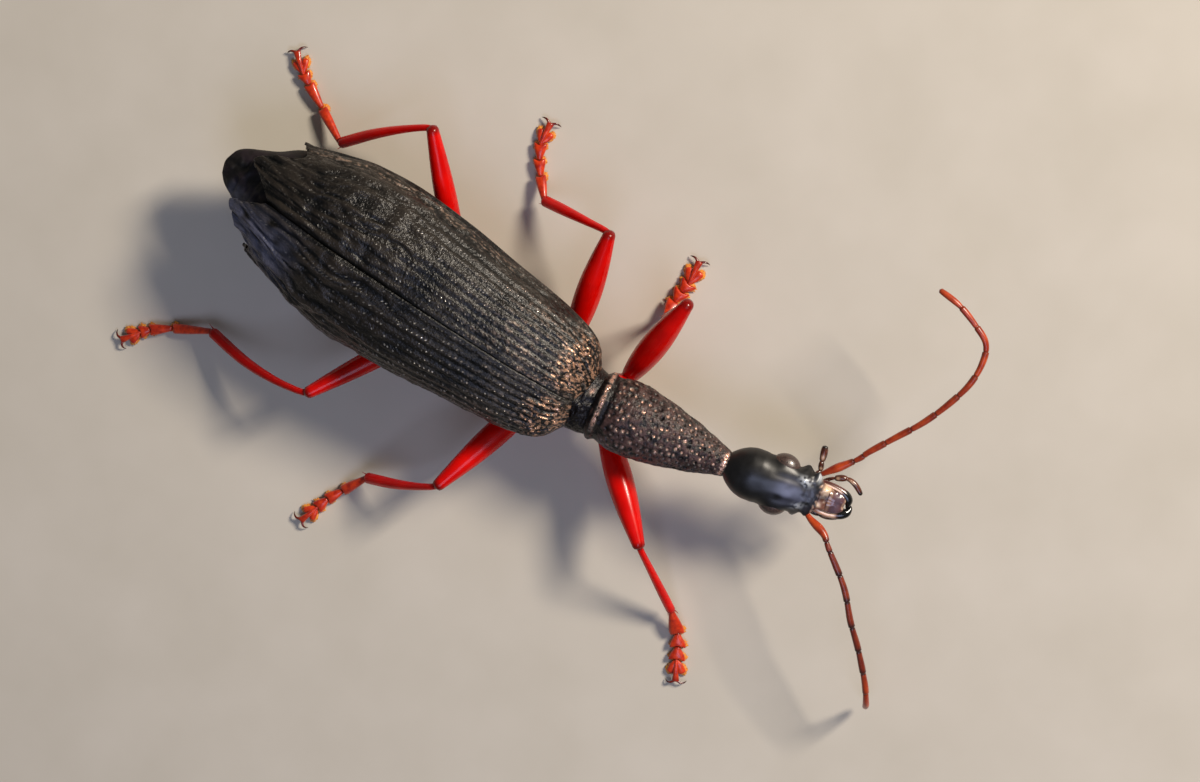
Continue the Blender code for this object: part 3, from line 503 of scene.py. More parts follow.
def cover_shape(sign):
    """The shape function of one wing cover, with its furrows, ribs and wrinkles."""
    def shape(across, along):
        point, outwards, spread, fold = cover_arch(across, along)
        y = point.y
        over = read(ROW_SHARES, spread)
        # The regions of the cover: inside its edges, rear, flank, front, shoulder and the strip at the seam.
        edge = ease(spread, 0.004, 0.03) * ease((1 - spread) / 0.08) * ease(y, -0.3, 0.4) * (1 - fold)
        rear = ease(y, 4.5, 5.0)
        flank = ease(over, 0.66, 0.16)
        front = 1 - ease(y, 0.5, 1.2)
        shoulder = (1 - ease(y, 0.1, 1.6)) * ease(spread / 0.1) * (1 - 0.5 * flank)
        seam = 1 - ease(spread / 0.022)
        # The relief in millimetres: furrows, dents and grain, ribs and wrinkles, and folds at the front.
        rough = min(rear + 0.8 * flank, 1)
        furrow = 0.5 + 0.5 * cos(2 * pi * over * PIT_ROWS)
        wave = wander(over * 6 + sign * 20, y * 0.6, 2.0)
        dents = wander(over * 4.0, y * 0.9, sign * 3.3)
        ribs = sin(2 * pi * (over * 6 + 0.4 * wave) + 0.4 * sin(y * 1.1 + sign))
        broken = ease(0.55 + 1.5 * wander(over * 7, y * 0.8, sign * 7.0))
        wrinkle = wander(over * 22 + 2.5 * wave, y * 2.2, sign * 5.0)
        fine = wander(over * 50, y * 9.0, sign * 9.0)
        folds = abs(wander(over * 15 + 2 * sign, y * 1.5, 8.0 * sign))
        height = -0.036 * furrow * (1 - 0.8 * rough) + 0.04 * dents + 0.012 * fine
        height += rough * (0.05 * ribs * broken + 0.06 * wrinkle)
        height += 0.13 * front * (0.3 - folds)
        patch = ease(0.6 + 1.5 * wander(over * 3 + 5 * sign, y * 0.7, 11.0))
        # The relief mark follows the height and random patches: it paints shade into furrows and light onto
        # ribs.
        painted_relief_shade = 0.25 + height / 0.11 + 0.4 * patch
        point = point + outwards * (edge * height + 0.04 * hump(spread, 0.985, 0.02) * (1 - fold))
        point.z -= (0.015 + 0.035 * ease(y, 4, 4)) * seam
        point.x = sign * (point.x + 0.05 * ease(y, 11.9, 0.3) * ease(spread, 0.7, 0.3))
        # The marks. The painted sheen and the painted pale strip of light on the flank are stronger on the
        # left cover, the side towards the key light.
        painted_sheen_share, painted_flank_light_share = (0.3, 0.3) if sign > 0 else (0.16, 0.12)
        pit = edge * (1 - 0.85 * rear) * (1 - 0.6 * flank) * (0.35 + 0.65 * patch)
        lines = 0.5 + 0.5 * sin(2 * pi * (over * 17 + 1.6 * wave + 0.8 * dents))
        painted_flank_light = painted_flank_light_share * hump(over, 0.85, 0.1) * lines * ease(y, 2.5, 2) * (1 - fold)
        blink = wander(over * 11, y * 2.6, 4.0 * sign)
        painted_sheen = painted_sheen_share * (1 - 0.6 * furrow) * (1 - ease(y, 0.8, 6)) * ease(0.7 + blink)
        # Copper of the shoulders in streaks, with painted glints on them.
        copper_and_painted_glints = shoulder * ease(1.9 - 4 * folds) * ease(0.9 + 1.2 * blink)
        # Painted shade: darker in the seam and in the grooves at the rear; the painted flank strip is
        # lighter.
        grooves = ease(1.6 * sin(2 * pi * (over * 12 + 0.7 * wave)) - 0.3) * hump(over, 0.12, 0.22)
        painted_relief_shade = (painted_relief_shade + 0.2 * rear + 1.6 * painted_flank_light) * (1 - fold)
        painted_relief_shade = painted_relief_shade - 0.5 * seam * ease(y, 3, 4) - 0.9 * grooves * rear
        # Painted sky sheen: blue-grey on the rear slope of the right cover.
        painted_sky_sheen = 0.6 * hump(over, 0.42, 0.26) * ease(y, 9.8, 1.6) * ease(0.8 + 1.2 * wrinkle) * (sign < 0)
        # The tone: the copper, the painted sheen, weaker on the flank, and the painted flank light.
        tone = max(copper_and_painted_glints, painted_sheen * (1 - 0.7 * flank), painted_flank_light)
        return point, {"pit": pit, "tone": tone, "painted_relief_shade": painted_relief_shade, "painted_sky_sheen": painted_sky_sheen}
    return shape


print("wing covers", COVER_END[2][1], "mm long,", PIT_ROWS, "rows of punctures on each")

# %% Wing covers
for side, sign in SIDES.items():
    body = sheet(150, 360, cover_shape(sign))
    surface = body.loops.layers.uv["surface"]
    for face in body.faces:
        for loop in face.loops:
            place = loop[surface].uv
            place.x = read(ROW_SHARES, min(place.x / (1 - FOLD_SHARE), 1)) + max(place.x - 1 + FOLD_SHARE, 0)
    bmesh.ops.recalc_face_normals(body, faces=body.faces)
    if sum(face.normal.z for face in body.faces) < 0:
        bmesh.ops.reverse_faces(body, faces=body.faces)
    bmesh.ops.solidify(body, geom=body.faces[:], thickness=COVER_THICKNESS)
    finish_piece("wing_cover_" + side, body, cover_cuticle, ["elytron_" + side])

# %% [markdown]
# ## Body under the covers
# Hind thorax and abdomen are separate solids in the CAD, with a gap between them. On the beetle soft skin
# joins them, so one tube replaces both. Its belly keeps the overlapping edges of the abdominal rings. The
# dull tip, with the edges of the last rings, shows in the V between the wing covers.

# %% Body
BODY_HALF_WIDTHS = ((-0.3, 0.9), (0.0, 1.0), (0.35, 1.72), (0.8, 2.0), (2.0, 2.26), (4.0, 2.48), (6.0, 2.72),
                    (8.0, 2.82), (9.6, 2.68), (10.8, 2.36), (11.6, 2.05), (12.3, 1.7), (12.9, 1.24),
                    (13.4, 0.97), (13.9, 0.7), (14.13, 0.47), (14.25, 0.12))
BODY_UNDERSIDES = ((-0.3, 2.36), (0.4, 2.15), (1.0, 2.02), (3.0, 1.9), (6.0, 1.88), (9.0, 1.98),
                   (12.0, 2.32), (13.9, 2.8), (14.25, 3.08))
BODY_TOPS = ((-0.3, 4.0), (0.3, 4.15), (1.0, 4.45), (3.0, 4.85), (9.0, 4.95), (11.0, 4.72), (12.2, 4.3),
             (13.2, 3.74), (13.9, 3.44), (14.25, 3.16))
RING_EDGES = (4.8, 6.5, 8.0, 9.5, 11.0, 12.4)
TIP_RINGS = (12.75, 13.45, 14.3)
BODY_EDGE_HEIGHT = 3.12
BODY_START, BODY_END = -0.3, 14.25


def ring_steps(y, edges, length, power):
    """How far the rear part of each ring stands out over the next one, from 0 to 1."""
    return sum(((y - edge + length) / length) ** power for edge in edges if edge - length < y <= edge)


def body_shape(across, along):
    """Round the body from the belly up, and from the waist to the tip."""
    y = BODY_START + (BODY_END - BODY_START) * along
    half_width = read(BODY_HALF_WIDTHS, y)
    angle = 2 * pi * across - pi / 2
    x = half_width * cos(angle)
    if sin(angle) > 0:
        x -= 0.45 * ease(y, 0.3, 0.6) * (1 - ease(y, 10.8, 1.2)) * ease(sin(angle) * 4) * cos(angle)
        rear = ease(y, 12.0, 0.4)
        height = read(BODY_TOPS, y) - BODY_EDGE_HEIGHT + 0.07 * ring_steps(y, TIP_RINGS, 0.8, 2) * rear
        height += rear * 0.12 * wander(x * 3.0, y * 3.0, 1.0)
        height += rear * 0.06 * wander(x * 8, y * 8, 4.0) + 0.07 * rear * hump(x, 0, 0.12)
        ridged = sin(angle) ** (0.9 - 0.3 * ease(y - 10.5))
        # Painted highlight: purple-brown patches at random on the tip. Painted sky sheen: blue-grey on its
        # right side.
        tone = 0.5 * rear * ease(0.4 + 2.5 * wander(x * 2.5, y * 2.5, 3.0))
        painted_sky_sheen = 0.6 * rear * hump(x, -0.8, 0.35) * ease((13.9 - y) / 0.5)
        return Vector((x, y, BODY_EDGE_HEIGHT + height * ridged)), {"tone": tone, "painted_sky_sheen": painted_sky_sheen}
    depth = BODY_EDGE_HEIGHT - read(BODY_UNDERSIDES, y) + 0.06 * ring_steps(y, RING_EDGES, 1.2, 3)
    keel = 0.12 * hump(x, 0, 0.5) * hump(y, 2.4, 1.6)
    return Vector((x, y, BODY_EDGE_HEIGHT + (depth + keel) * -abs(sin(angle)) ** 0.8)), {}


finish_piece("body_skin", tube(72, 260, body_shape), belly_cuticle,
             ["metathorax", "abdomen"])

# %% [markdown]
# The waist is the short stalk of the middle thorax between pronotum and wing covers. It is coarsely
# wrinkled and dark, and carries the scutellum, a low triangular shield in the notch of the wing covers.

# %% Waist
WAIST_HALF_WIDTHS = ((-1.05, 1.04), (-0.8, 1.12), (-0.5, 1.18), (-0.25, 1.24), (0.0, 1.34), (0.3, 1.5))
WAIST_TOPS = ((-1.05, 4.1), (-0.8, 4.2), (-0.45, 4.18), (-0.1, 4.26), (0.3, 4.4))
WAIST_START, WAIST_LENGTH, WAIST_MIDDLE, WAIST_DEPTH = -1.05, 1.35, 3.2, 0.85


def waist_shape(across, along):
    """Round the waist from below, and from inside the pronotum to under the wing covers."""
    y = WAIST_START + WAIST_LENGTH * along
    angle = 2 * pi * across - pi / 2
    x = read(WAIST_HALF_WIDTHS, y) * cos(angle)
    if sin(angle) < 0:
        return Vector((x, y, WAIST_MIDDLE + WAIST_DEPTH * sin(angle))), {}
    folds = wander(x * 5.5, y * 3.0, 2.0)
    coarse = wander(x * 11, y * 9.0, 5.0)
    shield = hump(x, 0, 0.3 - 0.25 * (y + 0.5)) * ease(y, -0.62, 0.2) * ease((0.12 - y) / 0.1)
    fine = wander(x * 26, y * 22, 7.0)
    height = 0.09 * folds + 0.06 * coarse + 0.035 * fine + 0.1 * shield
    rise = (read(WAIST_TOPS, y) - WAIST_MIDDLE + height) * sin(angle) ** 0.75
    # Painted glint: a copper spot at the left front. Painted shade: the relief mark keeps the waist dark,
    # darkest in its folds.
    marks = {"tone": 0.5 * hump(x, 0.6, 0.13) * hump(y, -0.5, 0.1), "painted_relief_shade": folds + coarse + fine - 2.0}
    return Vector((x, y, WAIST_MIDDLE + rise)), marks


finish_piece("waist", tube(120, 60, waist_shape), shield_cuticle, ["mesothorax"])

# %% [markdown]
# ## Pronotum
# The shield of the first body ring tapers forwards to the neck. Coarse pits stand on it in staggered,
# slightly wandering rows, so that a net of ridges is left between them, and each pit has a painted copper
# glint at its middle. The pits are real hollows in the mesh. A plain collar and a groove end it at the rear;
# the collar's lit side carries painted copper glints, and the neck a painted glint.

# %% Pronotum
SHIELD_BASE = Vector((0.13, -0.95, 3.35))
SHIELD_YAW = 9.3
SHIELD_LENGTH, SHIELD_RISE, SHIELD_FLATNESS = 4.65, 0.15, 0.88
SHIELD_START, SHIELD_END = -0.16, 4.86
SHIELD_HALF_WIDTHS = ((-0.16, 1.06), (-0.05, 1.15), (0.04, 1.225), (0.13, 1.235), (0.23, 1.17),
                      (0.31, 1.155), (0.42, 1.19), (0.6, 1.25), (1.0, 1.32), (2.0, 1.2), (3.0, 0.98),
                      (4.0, 0.7), (4.5, 0.53), (4.75, 0.47), (4.86, 0.4))
SHIELD_ROWS, SHIELD_STEP_MM = 26, 0.23
PIT_STRAY = 0.55


def turned_axes(yaw):
    """Forward and left directions of a part that is turned towards the beetle's left."""
    angle = radians(yaw)
    return Vector((sin(angle), -cos(angle), 0)), Vector((cos(angle), sin(angle), 0))


def pit_at(row_place, step_place, row_mm, radius):
    """How deep in a pit a place lies, from 0 to 1, and the painted glint there, strongest at the middle."""
    row = floor(row_place)
    moved = step_place + 0.5 * (row % 2)
    cell = floor(moved)
    spot = Vector((row * 7.31, cell * 3.17, 0.5))
    aside = (row_place - row - 0.5 + noise.noise(spot) * PIT_STRAY) * row_mm
    ahead = (moved - cell - 0.5 + noise.noise(spot + Vector((4.4, 0, 0))) * PIT_STRAY) * SHIELD_STEP_MM
    size = radius * (1 + 0.8 * noise.noise(spot + Vector((0, 5.5, 0))))
    painted_glint_strength = ease(0.8 + 1.6 * noise.noise(spot + Vector((0, 0, 6.5))))
    far = hypot(aside, ahead) / size
    return exp(-far ** 4), painted_glint_strength * exp(-(far / 0.52) ** 2)


def shield_shape(across, along):
    """Round the pronotum from below, and from its rear edge to the neck."""
    forward, left = turned_axes(SHIELD_YAW)
    station = SHIELD_START + (SHIELD_END - SHIELD_START) * along
    half_width = read(SHIELD_HALF_WIDTHS, station)
    angle = 2 * pi * across - pi / 2
    out = left * cos(angle) + UP * sin(angle) * SHIELD_FLATNESS
    centre = SHIELD_BASE + forward * station + UP * SHIELD_RISE * station / SHIELD_LENGTH
    row_mm = 2 * pi * half_width / SHIELD_ROWS
    pit, middle = pit_at(across * SHIELD_ROWS, station / SHIELD_STEP_MM, row_mm, min(0.085, 0.36 * row_mm))
    cover = ease(station, 0.4, 0.2) * ease((SHIELD_END - station) / 0.2)
    cover *= ease(sin(angle), -0.75, 0.5)
    place = Vector((cos(angle), station / half_width, sin(angle))) * half_width
    uneven = noise.noise(place * 1.7)
    coarse = noise.noise(place * 5.5)
    fine = noise.noise(place * 13)
    # The relief, with painted shade, and painted copper glints on the collar's lit side and at the neck.
    height = 0.045 * uneven + (0.016 * coarse + 0.012 * fine) * (1 - pit * cover) - 0.065 * pit * cover
    height += 0.02 * (pit * (1 - pit) * 4) * cover
    lit_side = ease((sin(angle) + 0.8 * cos(angle) - 0.1) / 0.8)
    painted_collar_glints = hump(station, 0.09, 0.06) * ease(0.85 + 1.3 * coarse) * lit_side
    painted_collar_glints += 0.9 * hump(station, 4.7, 0.06) * ease(sin(angle), 0.3, 0.3)
    # Painted shade: the relief mark is low in the pits, around the collar, in the groove behind it and at
    # the rear edge.
    painted_relief_shade = 0.55 + 0.9 * coarse + 0.5 * fine - 0.5 * pit - 1.1 * hump(station, 0.31, 0.09)
    painted_relief_shade -= 0.5 * (1 - ease(station, -0.02, 0.06)) + 0.5 * hump(station, 0.1, 0.12)
    tone = max(middle * cover, painted_collar_glints)
    return centre + out * (half_width + height), {"tone": tone, "painted_relief_shade": painted_relief_shade}


finish_piece("pronotum_shield", tube(208, 260, shield_shape), shield_cuticle, ["pronotum"])

# %% [markdown]
# ## Head
# The head is a long polished capsule on a narrow neck. It is widest behind the eyes. The forehead carries
# two shallow furrows, and a fine seam parts it from the clypeus, the red-brown plate over the mouth. The
# neck runs on into the pronotum, so that no gap shows. The cheeks below the feelers are lobes of their own.

# %% Head capsule
HEAD_YAW = 13.5
HEAD_START, HEAD_END = -0.55, 3.58
NECK_GAP = 0.3
shield_forward, _ = turned_axes(SHIELD_YAW)
HEAD_BASE = SHIELD_BASE + shield_forward * (SHIELD_LENGTH + NECK_GAP) + UP * SHIELD_RISE
HEAD_BEND = 0.1
HEAD_HALF_WIDTHS = ((-0.55, 0.3), (-0.28, 0.31), (-0.18, 0.39), (-0.08, 0.51), (0.04, 0.62), (0.22, 0.75),
                    (0.45, 0.86), (0.72, 0.92), (0.97, 0.915), (1.2, 0.86), (1.5, 0.8), (1.9, 0.76),
                    (2.3, 0.72), (2.7, 0.69), (3.0, 0.63), (3.12, 0.53), (3.25, 0.46), (3.5, 0.42),
                    (3.58, 0.36))
HEAD_TOPS = ((-0.55, 0.28), (-0.28, 0.29), (-0.1, 0.42), (0.1, 0.53), (0.4, 0.63), (0.8, 0.67), (1.3, 0.64),
             (1.9, 0.56), (2.5, 0.46), (3.0, 0.34), (3.3, 0.28), (3.58, 0.16))
HEAD_DEPTHS = ((-0.55, 0.28), (-0.28, 0.29), (-0.1, 0.38), (0.3, 0.52), (0.8, 0.6), (1.6, 0.62), (2.4, 0.56),
               (3.0, 0.42), (3.58, 0.2))


def head_axes():
    """The head's forward, left and up directions."""
    return (*turned_axes(HEAD_YAW), UP)


def on_head(ahead, aside, above):
    """A point from head measures. In front of the eyes the middle line bends a little to the left."""
    forward, left, up = head_axes()
    return HEAD_BASE + forward * ahead + left * (aside + HEAD_BEND * ease(ahead, 2.0, 1.1)) + up * above


def head_shape(across, along):
    """Round the head from below, and from inside the pronotum to the front edge over the jaws."""
    station = HEAD_START + (HEAD_END - HEAD_START) * along
    angle = 2 * pi * across - pi / 2
    aside = read(HEAD_HALF_WIDTHS, station) * cos(angle)
    # Bulges at the eyes, cheeks and feeler sockets widen the outline.
    orbit = 0.22 * hump(station, 1.74, 0.42) * hump(sin(angle), 0.05, 0.55)
    cheek = 0.24 * hump(station, 2.5, 0.2) * hump(sin(angle), -0.25, 0.4)
    socket = 0.17 * hump(station, 2.92, 0.14) * hump(sin(angle), 0.2, 0.3)
    bulge = (orbit + cheek + socket) * cos(angle)
    if sin(angle) <= 0:
        return on_head(station, aside + bulge, read(HEAD_DEPTHS, station) * sin(angle)), {}
    above = read(HEAD_TOPS, station) * sin(angle) ** (0.92 - 0.27 * ease(station, 1.2, 0.6))
    # Two furrows, a low dome beside each feeler, and the seam, swellings and dent of the clypeus.
    forehead = ease(station, 1.3, 0.5) * ease((2.95 - station) / 0.3)
    above -= 0.035 * hump(abs(aside), 0.4, 0.13) * forehead
    dome = hump(abs(aside), 0.48 - 0.3 * (station - 2.55), 0.14) * hump(station, 2.56, 0.2)
    dome *= (1 if aside > 0 else 0.4) * ease(sin(angle), 0.35, 0.3)
    above += 0.09 * dome
    above += 0.06 * hump(abs(aside), 0.34, 0.1) * hump(station, 3.34, 0.12)
    above -= 0.05 * hump(aside, 0.04, 0.15) * hump(station, 3.36, 0.12)
    above -= 0.03 * hump(station, 3.12, 0.04)
    above += 0.018 * wander(aside * 2.4, station * 2.0, 6.0)
    above += 0.025 * wander(aside * 7, station * 7, 2.0) * ease(station, 2.4, 0.3)
    # The marks: the red-brown clypeus, a painted blue-grey sheen of the sky on the forehead, and painted
    # highlights on the dome beside the left feeler, on the clypeus and on the rim of the left socket.
    mottle = wander(aside * 9, station * 9, 1.0)
    clypeus = ease((station - 3.06 + 0.1 * mottle) / 0.12) * (1 - 0.7 * hump(aside, 0.05, 0.14))
    streak = wander(aside * 5, station * 2.5, 9.0)
    painted_sheen = hump(station, 2.12, 0.42) * hump(aside, -0.02, 0.36) * ease(0.9 + streak)
    painted_sheen += 0.35 * hump(station, 2.75, 0.3) * hump(aside, 0, 0.5) * ease(0.6 + 1.5 * streak)
    painted_highlight = 0.9 * dome * ease(0.6 + 2.5 * mottle)
    painted_highlight += 1.2 * hump(station, 3.34, 0.13) * hump(aside, 0.33, 0.14)
    painted_highlight += 0.8 * hump(station, 3.22, 0.07) * hump(aside, -0.26, 0.1) + 0.3 * clypeus * ease(3 * mottle)
    painted_highlight += 0.7 * hump(station, 3.0, 0.07) * hump(aside, 0.6, 0.1)
    marks = {"tone": clypeus, "painted_sky_sheen": min(painted_sheen, 1) * (1 - clypeus), "painted_highlight": min(painted_highlight, 1)}
    return on_head(station, aside + bulge, above), marks


finish_piece("head_capsule", tube(120, 230, head_shape), head_cuticle, ["head"])

# %% [markdown]
# The eyes bulge from the sides of the head as low domes, longer than they are wide. Each is a sphere that
# is drawn out along the head and sunk into it by more than half.

# %% Eyes
EYE_AHEAD, EYE_ABOVE = 1.74, 0.02
EYE_OUT, EYE_SUNK = 1.115, 0.64
EYE_HALF_LENGTH, EYE_HALF_HEIGHT = 0.53, 0.36
forward, left, up = head_axes()
for side, sign in SIDES.items():
    axes = (forward * EYE_HALF_LENGTH, left * (EYE_OUT - EYE_SUNK), up * EYE_HALF_HEIGHT)
    body = ball(on_head(EYE_AHEAD, sign * EYE_SUNK, EYE_ABOVE), axes, columns=48)
    finish_piece("eye_dome_" + side, body, eyes.material, ["eye_" + side])

# %% [markdown]
# ## Limbs
# Feelers, palps, jaws and legs are all tubes that follow a curve. The curve runs smoothly through a few
# places that were measured on the beetle, and a size function says how wide and high the limb is along it,
# where its tone changes, and for some how strong a painted highlight along its upper edge is and how broad.

# %% Helpers for limbs
def curve_through(points, samples=120):
    """Evenly spaced points of a smooth curve through the given ones."""
    points = [Vector(point) for point in points]
    spans = len(points) - 1
    dense = []
    for k in range(samples * 2 + 1):
        share = k / (samples * 2) * spans
        index = min(int(share), spans - 1)
        t = share - index
        a, b, c, d = (points[min(max(index + step, 0), spans)] for step in (-1, 0, 1, 2))
        bent = (c - a) * t + (2 * a - 5 * b + 4 * c - d) * t ** 2 + (3 * b - a - 3 * c + d) * t ** 3
        dense.append(b + bent / 2)
    lengths = lengths_along(dense)
    even, k = [], 0
    for step in range(samples + 1):
        wanted = lengths[-1] * step / samples
        while k < len(dense) - 2 and lengths[k + 1] < wanted:
            k += 1
        even.append(dense[k].lerp(dense[k + 1], (wanted - lengths[k]) / (lengths[k + 1] - lengths[k])))
    return even


def limb(points, columns, rows, size, lean=UP):
    """A closed tube along the curve. size(share) gives half its width and height, and its marks."""
    curve = curve_through(points)

    def shape(across, along):
        place = along * (len(curve) - 1)
        index = min(int(place), len(curve) - 2)
        centre = curve[index].lerp(curve[index + 1], place - index)
        forward = (curve[min(index + 2, len(curve) - 1)] - curve[max(index - 1, 0)]).normalized()
        side = forward.cross(lean).normalized()
        # The painted highlight lies along the upper edge; a size that leaves it out has none.
        wide, high, tone, painted_highlight, edge = (*size(along), 0, 1)[:5]  # no polish if size leaves it out
        angle = 2 * pi * across
        place = centre + side * wide * cos(angle) + side.cross(forward) * high * sin(angle)
        return place, {"tone": tone, "painted_highlight": painted_highlight * hump(sin(angle), 1, edge)}

    return tube(columns, rows, shape)


def round_ends(share, soft):
    """Close a limb like a dome over the given share of its length at each end."""
    near = min(share, 1 - share)
    return 1.0 if near >= soft else max(1 - (1 - near / soft) ** 2, 0.0) ** 0.5


def joint_at(share, ends):
    """Which joint a share of the length falls in, and how far along that joint it lies."""
    number = next((k for k, end in enumerate(ends) if share <= end), len(ends) - 1)
    start = ends[number - 1] if number else 0
    return number, min((share - start) / (ends[number] - start), 1)


# %% [markdown]
# ## Feelers
# A ground beetle's feeler has eleven joints. The first is the longest and thickest, the second is a short
# bead, and the others widen a little towards their outer ends, where they are darker. They are made as one
# tube whose size narrows at each joint.

# %% Feelers
FEELER_JOINTS = (0.135, 0.17, 0.26, 0.36, 0.46, 0.56, 0.65, 0.74, 0.83, 0.91, 1)
FEELER_PATHS = {
    "left": (on_head(2.92, 0.7, -0.02), (2.62, -8.62, 3.6), (3.62, -9.22, 3.8), (4.09, -9.39, 3.9),
             (5.09, -9.85, 4.1), (6.03, -10.28, 4.3), (7.05, -10.6, 4.5), (8.09, -10.79, 4.7),
             (8.97, -10.71, 4.8), (9.57, -10.42, 4.9), (9.89, -9.76, 4.9), (10.13, -8.99, 4.9),
             (10.18, -8.18, 4.8)),
    "right": (on_head(2.9, -0.66, -0.02), (0.95, -9.05, 3.6), (0.83, -9.71, 3.85), (0.54, -10.1, 3.95),
              (-0.33, -11.3, 3.9), (-1.27, -12.18, 3.7), (-2.0, -12.94, 3.4), (-3.0, -13.85, 3.0),
              (-3.73, -14.35, 2.5), (-4.12, -14.52, 1.6), (-4.36, -14.6, 0.62)),
}
# Painted shade on each feeler, deep on the right one, which lies in shade.
FEELER_PAINTED_SHADES = {"left": 0.12, "right": 0.62}
FEELER_LEAST = 0.085


def feeler_size(share, shade):
    """Half the thickness of a feeler, which narrows and darkens at each joint. Painted shade darkens its
    first part.
    """
    number, local = joint_at(share, FEELER_JOINTS)
    if number == 0:
        radius = FEELER_LEAST + 0.072 * ease(local * 1.7) - 0.045 * ease(local * 2 - 1)
        radius *= round_ends(local, 0.06)
        return radius, radius, 0.9 * ease(local, 0.8, 0.2) + 0.7 * ease(1 - local / 0.2)
    thick = 0.105 if number == 1 else 0.122 - 0.001 * number
    taper = 0.86 + 0.14 * ease(local * 1.3)
    if number == len(FEELER_JOINTS) - 1:
        taper = 0.72 + 0.28 * sin(pi * local) ** 0.7
    radius = max(thick * taper * round_ends(local, 0.05), FEELER_LEAST) * min((1 - share) / 0.004, 1)
    tone = 0.5 * ease(local, 0.7, 0.3) + 0.6 * ease(1 - local / 0.1)
    return radius, radius, min(tone + shade * ease((0.75 - share) / 0.15), 1)


for side in SIDES:
    body = limb(FEELER_PATHS[side], 14, 360, lambda share: feeler_size(share, FEELER_PAINTED_SHADES[side]))
    finish_piece("feeler_" + side, body, feeler_cuticle,
                 [f"antenna_{side}_{number}" for number in (1, 2, 3)])

# %% [markdown]
# ## Mouthparts
# The jaws are strong curved sickles that lie along both sides of a square upper lip. Beside and below them
# stand two pairs of palps, short feelers of three or four joints that end in a blunt club.

# %% Upper lip and jaws
LIP_START, LIP_LENGTH, LIP_HALF_WIDTH = 3.46, 0.66, 0.39


def lip_shape(across, along):
    """A thin arched plate with rounded front corners and a shallow notch between them."""
    angle = 2 * pi * across
    half_width = LIP_HALF_WIDTH * round_ends(0.5 + along / 2, 0.34)
    aside = half_width * cos(angle)
    ahead = LIP_START + LIP_LENGTH * along - 0.07 * hump(aside, 0, 0.13) * ease(along, 0.5, 0.5)
    arch = 0.07 * (1 - (aside / LIP_HALF_WIDTH) ** 2) - 0.03 * hump(aside, 0, 0.06)
    above = 0.1 - 0.13 * along ** 1.5 + arch + 0.08 * sin(angle) * (1 - 0.4 * along)
    above += 0.035 * wander(ahead * 5, aside * 5, 3.0)
    # Painted highlights on the front rim and near the base, and a painted blue-grey sky sheen in the middle.
    broken = ease(0.4 + 2.2 * wander(aside * 7, 1.0, 5.0))
    painted_highlight = 0.8 * hump(along, 0.92, 0.06) * ease(sin(angle) * 3) * broken + 0.25 * hump(along, 0.12, 0.08)
    return on_head(ahead, aside - 0.02, above), {"painted_sky_sheen": 0.35 * hump(along, 0.5, 0.3), "painted_highlight": painted_highlight}


finish_piece("upper_lip", tube(48, 34, lip_shape), jaw_cuticle, ["labrum"])

JAWS = {
    "left": ((2.92, 0.38, -0.1), (3.2, 0.46, -0.06), (3.62, 0.43, -0.08), (3.94, 0.33, -0.12),
             (4.11, 0.18, -0.16), (4.17, 0.0, -0.18), (4.15, -0.14, -0.19)),
    "right": ((2.92, -0.4, -0.1), (3.25, -0.48, -0.05), (3.66, -0.5, -0.08), (4.0, -0.42, -0.14),
              (4.2, -0.29, -0.2), (4.28, -0.14, -0.24), (4.26, 0.0, -0.27)),
}
# How broad the painted highlight on each jaw's upper edge is: a thin line on the left, a wide band on the
# right.
JAW_HIGHLIGHT_WIDTHS = {"left": 0.05, "right": 0.3}


def jaw_size(share, edge):
    """Stout from the hinge to near the end, then a black point. The upper edge carries a painted highlight.
    """
    wide = 0.11 + 0.035 * hump(share, 0.75, 0.2)
    wide *= (1 - 0.6 * ease(share, 0.8, 0.2)) * round_ends(share, 0.06)
    return wide * 1.15, wide, ease(share, 0.56, 0.1), 0.9 * ease((0.62 - share) / 0.1), edge


for side in SIDES:
    path = [on_head(*place) for place in JAWS[side]]
    body = limb(path, 40, 70, lambda share: jaw_size(share, JAW_HIGHLIGHT_WIDTHS[side]))
    finish_piece("jaw_" + side, body, jaw_cuticle, ["mandible_" + side])

# %% Palps
PALPS = {
    "maxillary_palp_left": (
        ((0.28, 0.09), (0.55, 0.1), (1, 0.13)),
        ((2.72, 0.48, -0.32), (2.88, 0.72, -0.42), (2.84, 1.02, -0.46), (2.81, 1.3, -0.48),
         (2.76, 1.62, -0.5))),
    "maxillary_palp_right": (
        ((0.28, 0.09), (0.55, 0.1), (1, 0.12)),
        ((2.7, -0.48, -0.36), (2.9, -0.68, -0.54), (3.2, -0.76, -0.6), (3.62, -0.74, -0.6),
         (4.05, -0.6, -0.58))),
    "labial_palp_left": (
        ((0.36, 0.07), (0.58, 0.12), (1, 0.1)),
        ((2.95, 0.22, -0.42), (3.2, 0.46, -0.56), (3.46, 0.62, -0.6), (3.86, 0.74, -0.62),
         (4.18, 0.64, -0.62), (4.5, 0.36, -0.64))),
    "labial_palp_right": (
        ((0.36, 0.07), (0.58, 0.11), (1, 0.1)),
        ((2.95, -0.2, -0.42), (3.25, -0.38, -0.72), (3.6, -0.44, -0.84), (4.0, -0.44, -0.86),
         (4.22, -0.4, -0.84))),
}


def palp_size(share, joints):
    """Joints that are thicker in their middle than at both ends. The last is a club with a dark tip."""
    number, local = joint_at(share, [end for end, _ in joints])
    radius = joints[number][1] * (0.55 + 0.45 * sin(pi * local) ** 0.5) * round_ends(share, 0.04)
    tone = ease(share, 0.86, 0.12) + 0.7 * ease(1 - share / 0.3)
    # A painted highlight near the start of each outer joint.
    return radius, radius, tone, 0.6 * hump(local, 0.25, 0.15) * (share > 0.3), 0.12


for name, (joints, places) in PALPS.items():
    path = [on_head(*place) for place in places]
    body = limb(path, 16, 90, lambda share: palp_size(share, joints))
    finish_piece(name + "_joints", body, palp_cuticle, [name])
